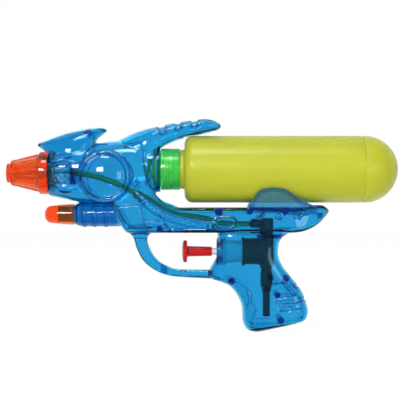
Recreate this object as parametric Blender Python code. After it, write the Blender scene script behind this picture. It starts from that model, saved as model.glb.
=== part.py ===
"""A see-through hand-pumped water squirter with a screw-on bottle, in metres, +Z up.

The muzzle points to -X, the bottle lies along +X, and Y = 0 is the seam between the two half shells.
The trigger pushes a plunger into the pump barrel. The valve block behind it draws water up a dip tube
from the grip and drives it through an elbow and a hose to the nozzle.
"""

import math

import bmesh
import bpy
from mathutils import Vector

# Clearances and walls
FIT = 0.0003
SEAM_GAP = 0.0003
WALL = 0.0018
GUARD_WALL = 0.0015
BOTTLE_GAP = 0.0007
EDGE = 0.0006
CUT_PAST = 0.0040
FAR = 0.2

# Heights of the four axes that lie along X
NOZZLE_Z = 0.1185
BOTTLE_Z = 0.1213
LOWER_Z = 0.0875
PUMP_Z = 0.0598

# Muzzle and nozzle
MUZZLE_X = -0.1144
MUZZLE_RADIUS = 0.0169
NOZZLE_LENGTH = 0.0314
NOZZLE_WALL = 0.0018
NOZZLE_TIP_RADIUS = 0.0074
NOZZLE_TIP_LENGTH = 0.0032
NOZZLE_CONE_FRONT_RADIUS = 0.0096
NOZZLE_CONE_REAR_RADIUS = 0.0136
NOZZLE_COLLAR_RADIUS = 0.0159
NOZZLE_COLLAR_LENGTH = 0.0085
NOZZLE_COLLAR_BEVEL = 0.0014
NOZZLE_WAIST = 0.0005
NOZZLE_PLUG_RADIUS = 0.0118
NOZZLE_PLUG_LENGTH = 0.0034
JET_RADIUS = 0.0024
JET_BORE = 0.0007
JET_RECESS = 0.0016
JET_SLEEVE_WALL = 0.0017
JET_SLEEVE_GAP_TO_MUZZLE = 0.0033
JET_FLANGE_RADIUS = 0.0038
JET_FLANGE_LENGTH = 0.0062

# Lower barrel and its tip
LOWER_X = -0.0956
LOWER_RADIUS = 0.0091
LOWER_FRONT_RADIUS = 0.0072
LOWER_LENGTH = 0.0367
LOWER_NOSE = 0.0055
LOWER_RIBS = (0.0067, 0.0142, 0.0228)
LOWER_RIB_WIDTH = 0.0012
LOWER_RIB_HEIGHT = 0.0004
LOWER_SPIGOT_RADIUS = 0.0058
LOWER_SPIGOT_LENGTH = 0.0120
LOWER_SPIGOT_WALL = 0.0013
TIP_LENGTH = 0.0224
TIP_RADIUS = 0.0077
TIP_NOSE_RADIUS = 0.0064
TIP_NOSE_LENGTH = 0.0045
TIP_TAPER = 0.0006

# Green neck collar and its seals
COLLAR_X = -0.0311
COLLAR_LENGTH = 0.0142
COLLAR_WALL = 0.0016
COLLAR_EDGE = 0.0005
COLLAR_WAIST_RADIUS = 0.0122
COLLAR_FLANGE_RADIUS = 0.0146
COLLAR_FLANGE_LENGTH = 0.0018
COLLAR_INLET_RADIUS = 0.0082
COLLAR_INLET_LENGTH = 0.0044
COLLAR_BORE = 0.0050
GASKET_THICKNESS = 0.0010
SEAL_THICKNESS = 0.0010
SEAL_WIDTH = 0.0034
SOCKET_RADIUS = 0.0170
SOCKET_DEPTH = 0.0150

# Bottle
BOTTLE_RADIUS = 0.0250
BOTTLE_LENGTH = 0.1596
BOTTLE_WALL = 0.0012
BOTTLE_CORNER = 0.0062
BOTTLE_GROOVE_TO_DOME = 0.0019
BOTTLE_GROOVE_WIDTH = 0.0022
BOTTLE_GROOVE_DEPTH = 0.0008
NECK_RADIUS = 0.0124
NECK_WALL = 0.0015
NECK_BEAD_RADIUS = 0.0147
NECK_BEAD_LENGTH = 0.0031
THREAD_PITCH = 0.0040
THREAD_DEPTH = 0.0011
THREAD_ROOT_WIDTH = 0.0020
THREAD_CREST_WIDTH = 0.0012
THREAD_TURNS = 1.5
THREAD_LEAD_IN = 0.0014
THREAD_CLEARANCE = 0.0004
THREAD_SUNK = 0.0005

# Trigger, plunger and pump barrel
TRIGGER_X = -0.0154
TRIGGER_RADIUS = 0.0083
TRIGGER_DOME = 0.0016
TRIGGER_RIM = 0.0022
STEM_RADIUS = 0.0039
STEM_LENGTH = 0.0184
STEM_SOCKET_DEPTH = 0.0090
ROD_RADIUS = 0.0025
ROD_SHOWN = 0.0100
PISTON_LENGTH = 0.0042
PISTON_GROOVE_DEPTH = 0.0015
PISTON_GROOVE_WIDTH = 0.0020
PISTON_CLEARANCE = 0.0004
BOSS_X = 0.0104
BOSS_RADIUS = 0.0100
BOSS_LENGTH = 0.0048
BOSS_LIP = 0.0016
BOSS_LIP_GAP = 0.0007
BARREL_RADIUS = 0.0084
BARREL_WALL = 0.0013
BARREL_LENGTH = 0.0242
BARREL_SEAL_WIDTH = 0.0014
BARREL_SEAL_THICKNESS = 0.0016
SPRING_RADIUS = 0.0042
SPRING_WIRE_RADIUS = 0.00045
SPRING_TURNS = 7
SPRING_POINTS_PER_TURN = 10

# Valve block, valves and the water path
BLOCK_RADIUS = 0.0100
BLOCK_LENGTH = 0.0166
BLOCK_SOCKET_DEPTH = 0.0069
BLOCK_FLANGE_RADIUS = 0.0108
BLOCK_FLANGE_LENGTH = 0.0015
CHAMBER_RADIUS = 0.0054
CHAMBER_TO_COLUMN = 0.0050
COLUMN_SETBACK = 0.0110
COLUMN_RADIUS = 0.0052
COLUMN_RISE = 0.0157
COLUMN_DROP = 0.0123
PORT_RADIUS = 0.0013
BALL_RADIUS = 0.0020
BALL_CAGE_GAP = 0.0004
BALL_LIFT = 0.0015
BALL_STOP_RADIUS = 0.0011
OUTLET_SEAT_DEPTH = 0.0071
OUTLET_SPIGOT_RADIUS = 0.0036
OUTLET_SPIGOT_LENGTH = 0.0030
INLET_SPIGOT_RADIUS = 0.0026
INLET_SPIGOT_LENGTH = 0.0040
INLET_RADIUS = 0.0044
INLET_LENGTH = 0.0172
INLET_SEAT_HEIGHT = 0.0074
DIP_RADIUS = 0.0027
DIP_WALL = 0.0009
DIP_INSERTED = 0.0040
DIP_FOOT_Z = 0.0112
ELBOW_RISE = 0.0047
ELBOW_CROWN = 0.0044
ELBOW_RADIUS = 0.0042
ELBOW_SOCKET_RADIUS = 0.0053
ELBOW_CAP = 0.0026
ELBOW_REACH = 0.0113
ELBOW_STUB_RADIUS = 0.0028
ELBOW_STUB_LENGTH = 0.0012
ELBOW_BORE = 0.0006
HOSE_RADIUS = 0.0022
HOSE_BORE = 0.0014
HOSE_ROOM = 0.0004
HOSE_STRAIGHT_PAST_BARB = 0.0010
BARB_RADIUS = 0.0011
BARB_LENGTH = 0.0078

# Round boss on each side of the head
DOME_X = -0.0722
DOME_Z = 0.1158
DOME_RING_RADIUS = 0.0184
DOME_RING_Y = 0.0206
DOME_GROOVE_RADIUS = 0.0160
DOME_GROOVE_Y = 0.0196
DOME_RADIUS = 0.0150
DOME_TOP_Y = 0.0232
DOME_RING_ROUND = 0.0011

# Posts that locate the two half shells: X, Z and radius
POSTS = (
    (-0.0855, 0.1476, 0.0026),
    (-0.0314, 0.0765, 0.0024),
    (0.0120, 0.0895, 0.0030),
    (0.0347, 0.0896, 0.0022),
    (0.0609, 0.0896, 0.0022),
    (0.0870, 0.0868, 0.0022),
    (0.0615, 0.0399, 0.0026),
    (0.0215, 0.0385, 0.0026),
    (0.0577, 0.0095, 0.0026),
    (0.0552, 0.0282, 0.0022),
)
PEG_RADIUS = 0.0011
PEG_LENGTH = 0.0020
PEG_ROOT = 0.0010

# Posts that steady the inlet fitting from both sides: X from the column, Z from its foot, and radius
REST_POSTS = ((0.0022, 0.0110, 0.0026), (-0.0008, 0.0025, 0.0024))

# Ribs inside the shells: lowest X and Z, highest X and Z
HOSE_RIB = (-0.0975, 0.1102, -0.0938, 0.1219)
PUMP_SHELF_FRONT = 0.0076
PUMP_SHELF_BACK = 0.0122
PUMP_SHELF_HEIGHT = 0.0028
GUARD_WEBS = ((-0.0312, 0.0425, -0.0262, 0.0505), (0.0045, 0.0380, 0.0072, 0.0480))

# Saddle under the bottle
SADDLE_GAP = 0.0034
TAIL_LIP = 0.0016
SADDLE_Z = BOTTLE_Z - BOTTLE_RADIUS - SADDLE_GAP
TAIL_LIP_Z = SADDLE_Z + TAIL_LIP
FRAME_FOOT_Z = 0.0738
FRAME_HALF = 0.0165
HORN_TOP_Z = 0.1590

# Body limbs: upper or front point (X, Z), lower or rear point (X, Z), half width
HEAD = (
    (MUZZLE_X, NOZZLE_Z + MUZZLE_RADIUS, MUZZLE_X, NOZZLE_Z - MUZZLE_RADIUS, MUZZLE_RADIUS),
    (-0.1100, 0.1365, -0.1100, 0.1003, 0.0174),
    (-0.1020, 0.1388, -0.1020, 0.0988, 0.0180),
    (-0.0950, 0.1399, -0.0950, 0.0971, 0.0183),
    (-0.0820, 0.1406, -0.0820, 0.0960, 0.0185),
    (-0.0634, 0.1425, -0.0634, 0.0960, 0.0180),
    (-0.0544, 0.1430, -0.0544, 0.0965, 0.0176),
    (-0.0454, 0.1410, -0.0454, 0.0980, 0.0172),
    (-0.0394, 0.1365, -0.0394, 0.0995, 0.0168),
)
FIN = (
    (-0.1229, 0.1402, -0.1229, 0.1385, 0.0015),
    (-0.1204, 0.1416, -0.1204, 0.1368, 0.0036),
    (-0.1144, 0.1442, -0.1144, 0.1346, 0.0065),
    (-0.1069, 0.1470, -0.1069, 0.1280, 0.0090),
    (-0.0994, 0.1493, -0.0979, 0.1280, 0.0096),
    (-0.0919, 0.1509, -0.0889, 0.1310, 0.0090),
    (-0.0844, 0.1520, -0.0836, 0.1370, 0.0076),
    (-0.0791, 0.1523, -0.0791, 0.1433, 0.0058),
    (-0.0746, 0.1522, -0.0750, 0.1470, 0.0042),
    (-0.0722, 0.1512, -0.0722, 0.1495, 0.0018),
)
HORN = (
    (-0.0634, 0.1425, -0.0634, 0.1300, 0.0140),
    (-0.0581, 0.1451, -0.0540, 0.1280, 0.0140),
    (-0.0506, 0.1485, -0.0450, 0.1220, 0.0140),
    (-0.0431, 0.1510, -0.0394, 0.1237, 0.0136),
    (-0.0356, 0.1528, -0.0364, 0.1309, 0.0130),
    (-0.0281, HORN_TOP_Z - 0.0045, -0.0319, HORN_TOP_Z - 0.0225, 0.0122),
    (-0.0206, HORN_TOP_Z - 0.0030, -0.0244, HORN_TOP_Z - 0.0184, 0.0116),
    (-0.0131, HORN_TOP_Z - 0.0017, -0.0169, HORN_TOP_Z - 0.0155, 0.0110),
    (-0.0056, HORN_TOP_Z - 0.0007, -0.0079, HORN_TOP_Z - 0.0132, 0.0104),
    (0.0019, HORN_TOP_Z, 0.0019, HORN_TOP_Z - 0.0109, 0.0094),
    (0.0079, HORN_TOP_Z - 0.0011, 0.0086, HORN_TOP_Z - 0.0092, 0.0078),
    (0.0120, HORN_TOP_Z - 0.0030, 0.0120, HORN_TOP_Z - 0.0081, 0.0054),
    (0.0139, HORN_TOP_Z - 0.0049, 0.0139, HORN_TOP_Z - 0.0062, 0.0020),
)
FRAME = (
    (-0.0671, 0.1210, -0.0671, 0.0945, 0.0155),
    (-0.0634, 0.1170, -0.0634, 0.0866, 0.0160),
    (-0.0589, 0.1150, -0.0589, 0.0773, 0.0163),
    (-0.0548, 0.1130, -0.0548, FRAME_FOOT_Z, FRAME_HALF),
    (-0.0394, 0.1118, -0.0394, FRAME_FOOT_Z, FRAME_HALF),
    (-0.0364, 0.1058, -0.0349, FRAME_FOOT_Z, FRAME_HALF),
    (-0.0326, 0.1005, -0.0304, FRAME_FOOT_Z, FRAME_HALF),
    (-0.0281, 0.0971, -0.0259, FRAME_FOOT_Z, FRAME_HALF),
    (-0.0229, 0.0953, -0.0214, FRAME_FOOT_Z, FRAME_HALF),
    (-0.0169, SADDLE_Z, -0.0161, FRAME_FOOT_Z, FRAME_HALF),
    (0.0356, SADDLE_Z, 0.0356, FRAME_FOOT_Z, FRAME_HALF),
    (0.0544, SADDLE_Z, 0.0544, FRAME_FOOT_Z, 0.0160),
    (0.0656, SADDLE_Z, 0.0640, FRAME_FOOT_Z, 0.0150),
    (0.0731, SADDLE_Z, 0.0724, 0.0745, 0.0136),
    (0.0821, TAIL_LIP_Z, 0.0799, 0.0769, 0.0112),
    (0.0881, TAIL_LIP_Z, 0.0866, 0.0810, 0.0082),
    (0.0923, 0.0926, 0.0919, 0.0863, 0.0050),
    (0.0947, 0.0908, 0.0945, 0.0893, 0.0018),
)
GRIP = (
    (0.0116, 0.0787, 0.0690, 0.0787, 0.0130),
    (0.0114, 0.0737, 0.0650, 0.0737, 0.0140),
    (0.0112, 0.0712, 0.0605, 0.0712, 0.0145),
    (0.0111, 0.0683, 0.0581, 0.0683, 0.0145),
    (0.0116, 0.0638, 0.0566, 0.0638, 0.0145),
    (0.0114, 0.0593, 0.0563, 0.0593, 0.0145),
    (0.0098, 0.0548, 0.0570, 0.0551, 0.0145),
    (0.0075, 0.0510, 0.0585, 0.0514, 0.0144),
    (0.0055, 0.0469, 0.0608, 0.0476, 0.0143),
    (0.0049, 0.0435, 0.0634, 0.0443, 0.0142),
    (0.0064, 0.0398, 0.0664, 0.0405, 0.0141),
    (0.0124, 0.0375, 0.0683, 0.0383, 0.0140),
    (0.0184, 0.0353, 0.0701, 0.0360, 0.0140),
    (0.0221, 0.0323, 0.0720, 0.0334, 0.0140),
    (0.0255, 0.0278, 0.0743, 0.0300, 0.0141),
    (0.0279, 0.0233, 0.0758, 0.0259, 0.0142),
    (0.0294, 0.0180, 0.0773, 0.0218, 0.0144),
    (0.0299, 0.0083, 0.0786, 0.0153, 0.0145),
    (0.0315, 0.0041, 0.0773, 0.0101, 0.0140),
    (0.0345, 0.0011, 0.0746, 0.0080, 0.0126),
    (0.0386, 0.0000, 0.0716, 0.0071, 0.0104),
)
GUARD = (
    (-0.0551, 0.0743, -0.0379, 0.0743, 0.0080),
    (-0.0512, 0.0690, -0.0413, 0.0690, 0.0064),
    (-0.0499, 0.0638, -0.0400, 0.0638, 0.0060),
    (-0.0476, 0.0585, -0.0377, 0.0589, 0.0060),
    (-0.0446, 0.0533, -0.0344, 0.0544, 0.0060),
    (-0.0401, 0.0488, -0.0308, 0.0514, 0.0060),
    (-0.0349, 0.0454, -0.0266, 0.0491, 0.0060),
    (-0.0289, 0.0428, -0.0221, 0.0473, 0.0060),
    (-0.0221, 0.0413, -0.0169, 0.0465, 0.0060),
    (-0.0131, 0.0405, -0.0101, 0.0463, 0.0060),
    (0.0079, 0.0395, 0.0086, 0.0461, 0.0060),
)

# Rim of the cheeks that hold the bottle: X and the rim's height
CHEEK_WALL = 0.0020
CHEEK_ROOT = 0.0050
CHEEK_RIM = (
    (0.0340, 0.0935),
    (0.0362, 0.0973),
    (0.0385, 0.1015),
    (0.0410, 0.1048),
    (0.0445, 0.1065),
    (0.0500, 0.1071),
    (0.0545, 0.1071),
    (0.0609, 0.1059),
    (0.0668, 0.1022),
    (0.0735, 0.0982),
    (0.0800, 0.0948),
    (0.0840, 0.0935),
)

# Notches across the back of the horn: X, Z and radius of the round cutter
HORN_NOTCHES = (
    (-0.0310, HORN_TOP_Z - 0.0008, 0.0050),
    (-0.0190, HORN_TOP_Z + 0.0016, 0.0052),
    (-0.0062, HORN_TOP_Z + 0.0038, 0.0052),
)

# Middle of the hose between its two straight ends: X and Z
HOSE_ROUTE = (
    (-0.0970, 0.1186),
    (-0.0905, 0.1180),
    (-0.0844, 0.1170),
    (-0.0769, 0.1151),
    (-0.0694, 0.1125),
    (-0.0619, 0.1095),
    (-0.0544, 0.1058),
    (-0.0469, 0.1022),
    (-0.0394, 0.0986),
    (-0.0319, 0.0946),
    (-0.0244, 0.0908),
    (-0.0169, 0.0883),
    (-0.0094, 0.0867),
    (-0.0019, 0.0853),
    (0.0050, 0.0836),
    (0.0105, 0.0815),
)

# Mesh fineness
WELD = 0.000002
LIMB_SIDES = 14
THIN_LIMB_SIDES = 10
HOLLOW_SIDES = 8
POST_SIDES = 6
BIG_SIDES = 24
SMALL_SIDES = 16
PORT_SIDES = 10
HOSE_SIDES = 8
THREAD_STEPS = 14
THREAD_FADE_STEPS = 4

# Places worked out from the sizes above
NOZZLE_REAR_X = MUZZLE_X - FIT
NOZZLE_TIP_X = NOZZLE_REAR_X - NOZZLE_LENGTH
JET_SLEEVE_END_X = MUZZLE_X - JET_SLEEVE_GAP_TO_MUZZLE
JET_FLANGE_X = JET_SLEEVE_END_X + FIT
JET_FLANGE_END_X = JET_FLANGE_X + JET_FLANGE_LENGTH
HOSE_START_X = JET_FLANGE_END_X + FIT
TIP_REAR_X = LOWER_X - FIT
LOWER_SPIGOT_X = LOWER_X - LOWER_SPIGOT_LENGTH
COLLAR_OUTER_RADIUS = NECK_RADIUS + THREAD_DEPTH + THREAD_CLEARANCE + COLLAR_WALL
COLLAR_INNER_RADIUS = COLLAR_OUTER_RADIUS - COLLAR_WALL
COLLAR_END_X = COLLAR_X + COLLAR_LENGTH
COLLAR_FLOOR_X = COLLAR_X + WALL
SOCKET_REAR_X = COLLAR_X - FIT
SOCKET_INNER_X = SOCKET_REAR_X - WALL
GASKET_END_X = SOCKET_INNER_X - FIT
COLLAR_FLANGE_END_X = GASKET_END_X - GASKET_THICKNESS - FIT
COLLAR_FLANGE_X = COLLAR_FLANGE_END_X - COLLAR_FLANGE_LENGTH
COLLAR_INLET_X = COLLAR_FLANGE_X - COLLAR_INLET_LENGTH
SEAL_X = COLLAR_FLOOR_X + FIT
MOUTH_X = SEAL_X + SEAL_THICKNESS + FIT
BEAD_X = COLLAR_END_X + FIT
SHOULDER_X = BEAD_X + NECK_BEAD_LENGTH
BOTTLE_END_X = SHOULDER_X + BOTTLE_LENGTH
DOME_CENTRE_X = BOTTLE_END_X - BOTTLE_RADIUS
BOTTLE_THREAD_X = MOUTH_X + THREAD_LEAD_IN
COLLAR_THREAD_X = BOTTLE_THREAD_X + THREAD_PITCH / 2
TRIGGER_BACK_X = TRIGGER_X + TRIGGER_DOME + TRIGGER_RIM
STEM_END_X = TRIGGER_BACK_X + STEM_LENGTH
ROD_X = STEM_END_X - STEM_SOCKET_DEPTH + FIT
PISTON_X = STEM_END_X + ROD_SHOWN
PISTON_END_X = PISTON_X + PISTON_LENGTH
BARREL_BORE = BARREL_RADIUS - BARREL_WALL
BARREL_X = BOSS_X + BOSS_LIP + FIT
BARREL_END_X = BARREL_X + BARREL_LENGTH
BOSS_END_X = BOSS_X + BOSS_LENGTH
BLOCK_FLOOR_X = BARREL_END_X + FIT
BLOCK_X = BLOCK_FLOOR_X - BLOCK_SOCKET_DEPTH
COLUMN_X = BLOCK_FLOOR_X + COLUMN_SETBACK
COLUMN_TOP_Z = PUMP_Z + COLUMN_RISE
COLUMN_BOTTOM_Z = PUMP_Z - COLUMN_DROP
CHAMBER_END_X = COLUMN_X - CHAMBER_TO_COLUMN
PUMP_SHELF_Z = PUMP_Z + BLOCK_RADIUS + FIT
PUMP_SHELF = (
    COLUMN_X - PUMP_SHELF_FRONT,
    PUMP_SHELF_Z,
    COLUMN_X + PUMP_SHELF_BACK,
    PUMP_SHELF_Z + PUMP_SHELF_HEIGHT,
)
SPRING_X = PISTON_END_X + FIT + SPRING_WIRE_RADIUS
SPRING_END_X = CHAMBER_END_X - FIT - SPRING_WIRE_RADIUS
CAGE_RADIUS = BALL_RADIUS + BALL_CAGE_GAP
BALL_SEAT_RISE = math.sqrt(BALL_RADIUS**2 - PORT_RADIUS**2) + FIT
OUTLET_SEAT_Z = COLUMN_TOP_Z - OUTLET_SEAT_DEPTH
INLET_TOP_Z = COLUMN_BOTTOM_Z - FIT
INLET_FOOT_Z = INLET_TOP_Z - INLET_LENGTH
INLET_SEAT_Z = INLET_FOOT_Z + INLET_SEAT_HEIGHT
DIP_TOP_Z = INLET_FOOT_Z + DIP_INSERTED
ELBOW_FOOT_Z = COLUMN_TOP_Z + FIT
ELBOW_Z = COLUMN_TOP_Z + ELBOW_RISE
ELBOW_STUB_END_X = COLUMN_X - ELBOW_REACH
ELBOW_STUB_X = ELBOW_STUB_END_X - ELBOW_STUB_LENGTH
HOSE_END_X = ELBOW_STUB_X - FIT


def add_object(name, points, faces, origin=(0, 0, 0)):
    """A closed mesh object whose points are given from its origin."""
    mesh = bpy.data.meshes.new(name)
    mesh.from_pydata(points, [], faces)
    shape = bmesh.new()
    shape.from_mesh(mesh)
    bmesh.ops.recalc_face_normals(shape, faces=shape.faces)
    shape.to_mesh(mesh)
    shape.free()
    piece = bpy.data.objects.new(name, mesh)
    piece.location = origin
    bpy.context.scene.collection.objects.link(piece)
    return piece


def combine(target, tool, operation, solver="EXACT"):
    """Join, cut or intersect the target with a tool, which is used up."""
    modifier = target.modifiers.new(operation, "BOOLEAN")
    modifier.operation = operation
    modifier.solver = solver
    modifier.object = tool
    graph = bpy.context.evaluated_depsgraph_get()
    mesh = bpy.data.meshes.new_from_object(target.evaluated_get(graph))
    target.modifiers.clear()
    bpy.data.objects.remove(tool)
    shape = bmesh.new()
    shape.from_mesh(mesh)
    bmesh.ops.remove_doubles(shape, verts=shape.verts, dist=WELD)
    bmesh.ops.dissolve_degenerate(shape, edges=shape.edges, dist=WELD)
    shape.to_mesh(mesh)
    shape.free()
    target.data = mesh


def copy_of(piece, name):
    double = piece.copy()
    double.data = piece.data.copy()
    double.name = name
    bpy.context.scene.collection.objects.link(double)
    return double


def joined(name, pieces):
    """Pieces that lie apart, as one mesh."""
    points, faces = [], []
    for piece in pieces:
        first = len(points)
        points += [tuple(piece.location + vertex.co) for vertex in piece.data.vertices]
        faces += [[first + index for index in face.vertices] for face in piece.data.polygons]
        bpy.data.objects.remove(piece)
    return add_object(name, points, faces)


def joined_by_union(name, pieces):
    """Pieces that run into each other, as one solid."""
    first, *others = pieces
    first.name = name
    for other in others:
        combine(first, other, "UNION")
    return first


def lofted(name, sections):
    """A closed skin over sections of equal point counts, with flat ends."""
    count = len(sections[0])
    points = [point for section in sections for point in section]
    faces = []
    for start in range(0, len(points) - count, count):
        for index in range(count):
            after = (index + 1) % count
            faces.append((start + index, start + after, start + count + after, start + count + index))
    faces.append(tuple(range(count)))
    faces.append(tuple(range(len(points) - count, len(points))))
    return add_object(name, points, faces)


def turned(name, profile, axis, origin, sides=SMALL_SIDES):
    """A profile of (along, radius) points turned about an axis through the origin.

    A profile that starts and ends on the axis makes a solid, any other profile closes on itself.
    """
    points, rows = [], []
    for along, radius in profile:
        ring = []
        for index in range(1 if radius == 0 else sides):
            angle = math.tau * index / sides
            across = (radius * math.cos(angle), radius * math.sin(angle))
            ring.append(len(points))
            points.append({
                "X": (along, *across),
                "Y": (across[1], along, across[0]),
                "Z": (*across, along),
            }[axis])
        rows.append(ring)
    if len(rows[0]) > 1:
        rows.append(rows[0])
    faces = []
    for row, following in zip(rows, rows[1:]):
        for index in range(sides):
            after = (index + 1) % sides
            corners = (
                row[index % len(row)],
                row[after % len(row)],
                following[after % len(following)],
                following[index % len(following)],
            )
            faces.append(tuple(dict.fromkeys(corners)))
    return add_object(name, points, faces, origin)


def rod(name, axis, start, end, radius, centre, sides=SMALL_SIDES):
    """A plain round rod along an axis, from start to end, with its axis through the centre."""
    profile = ((start, 0), (start, radius), (end, radius), (end, 0))
    return turned(name, profile, axis, centre, sides)


def ring(name, axis, start, end, inner, outer, centre, sides=SMALL_SIDES):
    profile = ((start, inner), (start, outer), (end, outer), (end, inner))
    return turned(name, profile, axis, centre, sides)


def block(name, low, high):
    corners = [(x, y, z) for x in (low[0], high[0]) for y in (low[1], high[1]) for z in (low[2], high[2])]
    faces = ((0, 1, 3, 2), (4, 6, 7, 5), (0, 4, 5, 1), (2, 3, 7, 6), (0, 2, 6, 4), (1, 5, 7, 3))
    return add_object(name, corners, faces)


def arc(centre, radius, start, end, steps):
    """Points of an arc in a profile, with angles in degrees from the axis."""
    angles = [math.radians(start + (end - start) * step / steps) for step in range(steps + 1)]
    return [(centre[0] + radius * math.cos(a), centre[1] + radius * math.sin(a)) for a in angles]


def rounded_power(value, power):
    return math.copysign(abs(value) ** (2 / power), value)


def limb_section(station, power, sides):
    """One rounded section between two outline points, with corners squarer at a higher power."""
    first_x, first_z, last_x, last_z, half = station
    middle = Vector(((first_x + last_x) / 2, 0, (first_z + last_z) / 2))
    reach = Vector((first_x, 0, first_z)) - middle
    fullness = rounded_power(math.cos(math.pi / sides), power)
    section = []
    for index in range(sides):
        angle = math.tau * (index + 0.5) / sides
        along = rounded_power(math.cos(angle), power) / fullness
        across = rounded_power(math.sin(angle), power)
        section.append(tuple(middle + reach * along + Vector((0, half * across, 0))))
    return section


def limb(name, stations, power, sides=LIMB_SIDES):
    return lofted(name, [limb_section(station, power, sides) for station in stations])


def inset_station(station, wall):
    first = Vector(station[0:2])
    last = Vector(station[2:4])
    step = (last - first).normalized() * wall
    return (*(first + step), *(last - step), station[4] - wall)


def moved_towards(station, other, distance):
    """The station moved along the limb by a distance."""
    gap = (Vector(other[0:2]) + Vector(other[2:4]) - Vector(station[0:2]) - Vector(station[2:4])).length / 2
    share = distance / gap
    return tuple(here + (there - here) * share for here, there in zip(station, other))


def hollow_of(stations, wall):
    """Stations of the space inside a limb, where there is room for one."""
    room = [
        station
        for station in stations
        if (Vector(station[0:2]) - Vector(station[2:4])).length > 4 * wall and station[4] > 2 * wall
    ]
    inner = [inset_station(station, wall) for station in room]
    inner[0] = moved_towards(inner[0], inner[1], wall)
    inner[-1] = moved_towards(inner[-1], inner[-2], wall)
    return inner


def lower_barrel_stations():
    """The lower barrel's round front, its ribs and its straight run into the frame."""
    shape = [
        (LOWER_X, LOWER_FRONT_RADIUS),
        (LOWER_X + LOWER_NOSE / 2, (LOWER_FRONT_RADIUS + 2 * LOWER_RADIUS) / 3),
        (LOWER_X + LOWER_NOSE, LOWER_RADIUS),
    ]
    for start in LOWER_RIBS:
        x = LOWER_X + start
        shape.append((x - LOWER_RIB_HEIGHT, LOWER_RADIUS))
        shape.append((x, LOWER_RADIUS + LOWER_RIB_HEIGHT))
        shape.append((x + LOWER_RIB_WIDTH, LOWER_RADIUS + LOWER_RIB_HEIGHT))
        shape.append((x + LOWER_RIB_WIDTH + LOWER_RIB_HEIGHT, LOWER_RADIUS))
    shape.append((LOWER_X + LOWER_LENGTH, LOWER_RADIUS))
    return [(x, LOWER_Z + radius, x, LOWER_Z - radius, radius) for x, radius in shape]


def lower_hollow_stations():
    """The plain round space inside the lower barrel."""
    radius = LOWER_FRONT_RADIUS - FIT
    ends = (LOWER_X + WALL, LOWER_X + LOWER_LENGTH - WALL)
    return [(x, LOWER_Z + radius, x, LOWER_Z - radius, radius) for x in ends]


def body_limbs():
    """Each limb's name, stations, stations of its hollow, squareness and sides."""
    return (
        ("head", HEAD, hollow_of(HEAD, WALL), 2.3, LIMB_SIDES),
        ("fin", FIN, hollow_of(FIN, WALL), 2.2, THIN_LIMB_SIDES),
        ("horn", HORN, hollow_of(HORN, WALL), 2.5, LIMB_SIDES),
        ("frame", FRAME, hollow_of(FRAME, WALL), 3.2, LIMB_SIDES),
        ("grip", GRIP, hollow_of(GRIP, WALL), 2.9, LIMB_SIDES),
        ("guard", GUARD, hollow_of(GUARD, GUARD_WALL), 3.0, THIN_LIMB_SIDES),
        ("lower_barrel", lower_barrel_stations(), lower_hollow_stations(), 2.0, LIMB_SIDES),
    )


def cheek(side):
    """A plate that flares from the frame's side up round the bottle, on the side of that sign."""
    room = BOTTLE_RADIUS + BOTTLE_GAP
    foot_z = SADDLE_Z - CHEEK_ROOT
    sections = []
    for x, rim_z in CHEEK_RIM:
        beside_bottle = math.sqrt(max(room**2 - (BOTTLE_Z - rim_z) ** 2, 0))
        rim_y = max(FRAME_HALF - CHEEK_WALL, beside_bottle) + CHEEK_WALL / 2
        foot_y = FRAME_HALF - CHEEK_WALL
        outline = (
            (foot_y - CHEEK_WALL / 2, foot_z),
            (foot_y + CHEEK_WALL / 2, foot_z),
            (rim_y + CHEEK_WALL / 2, rim_z),
            (rim_y - CHEEK_WALL / 2, rim_z),
        )
        sections.append([(x, side * y, z) for y, z in outline])
    return lofted("cheek", sections)


def dome(name, inset):
    """The round boss through the head, shrunk by an inset for its hollow."""
    half = [
        (DOME_RING_Y - inset - DOME_RING_ROUND, DOME_RING_RADIUS - inset),
        (DOME_RING_Y - inset, DOME_RING_RADIUS - inset - DOME_RING_ROUND),
        (DOME_GROOVE_Y - inset, DOME_GROOVE_RADIUS - inset),
    ]
    rise = DOME_TOP_Y - DOME_GROOVE_Y
    for share in (1.0, 0.8, 0.45):
        height = DOME_GROOVE_Y + rise * math.sqrt(1 - share**2)
        half.append((height - inset, DOME_RADIUS * share - inset * share))
    half.append((DOME_TOP_Y - inset, 0))
    profile = [(-along, radius) for along, radius in reversed(half)] + half
    return turned(name, profile, "Y", (DOME_X, 0, DOME_Z), BIG_SIDES)


def outer_body():
    """The body as a full solid, before it is hollowed and split."""
    limbs = [limb(name, outside, power, sides) for name, outside, _, power, sides in body_limbs()]
    body = joined_by_union("body", limbs)
    combine(body, dome("dome", 0), "UNION")
    socket_x = SOCKET_REAR_X - SOCKET_DEPTH
    socket = rod("socket", "X", socket_x, SOCKET_REAR_X, SOCKET_RADIUS, (0, 0, BOTTLE_Z), BIG_SIDES)
    combine(body, socket, "UNION")
    boss = rod("boss", "X", BOSS_X, BOSS_END_X, BOSS_RADIUS, (0, 0, PUMP_Z), BIG_SIDES)
    combine(body, boss, "UNION")
    spigot_end = LOWER_X + LOWER_NOSE
    spigot = rod("spigot", "X", LOWER_SPIGOT_X, spigot_end, LOWER_SPIGOT_RADIUS, (0, 0, LOWER_Z), BIG_SIDES)
    combine(body, spigot, "UNION")
    for side in (-1, 1):
        combine(body, cheek(side), "UNION")
    notches = [rod("notch", "Y", -FAR, FAR, radius, (x, 0, z)) for x, z, radius in HORN_NOTCHES]
    combine(body, joined("notches", notches), "DIFFERENCE")
    return body


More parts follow.
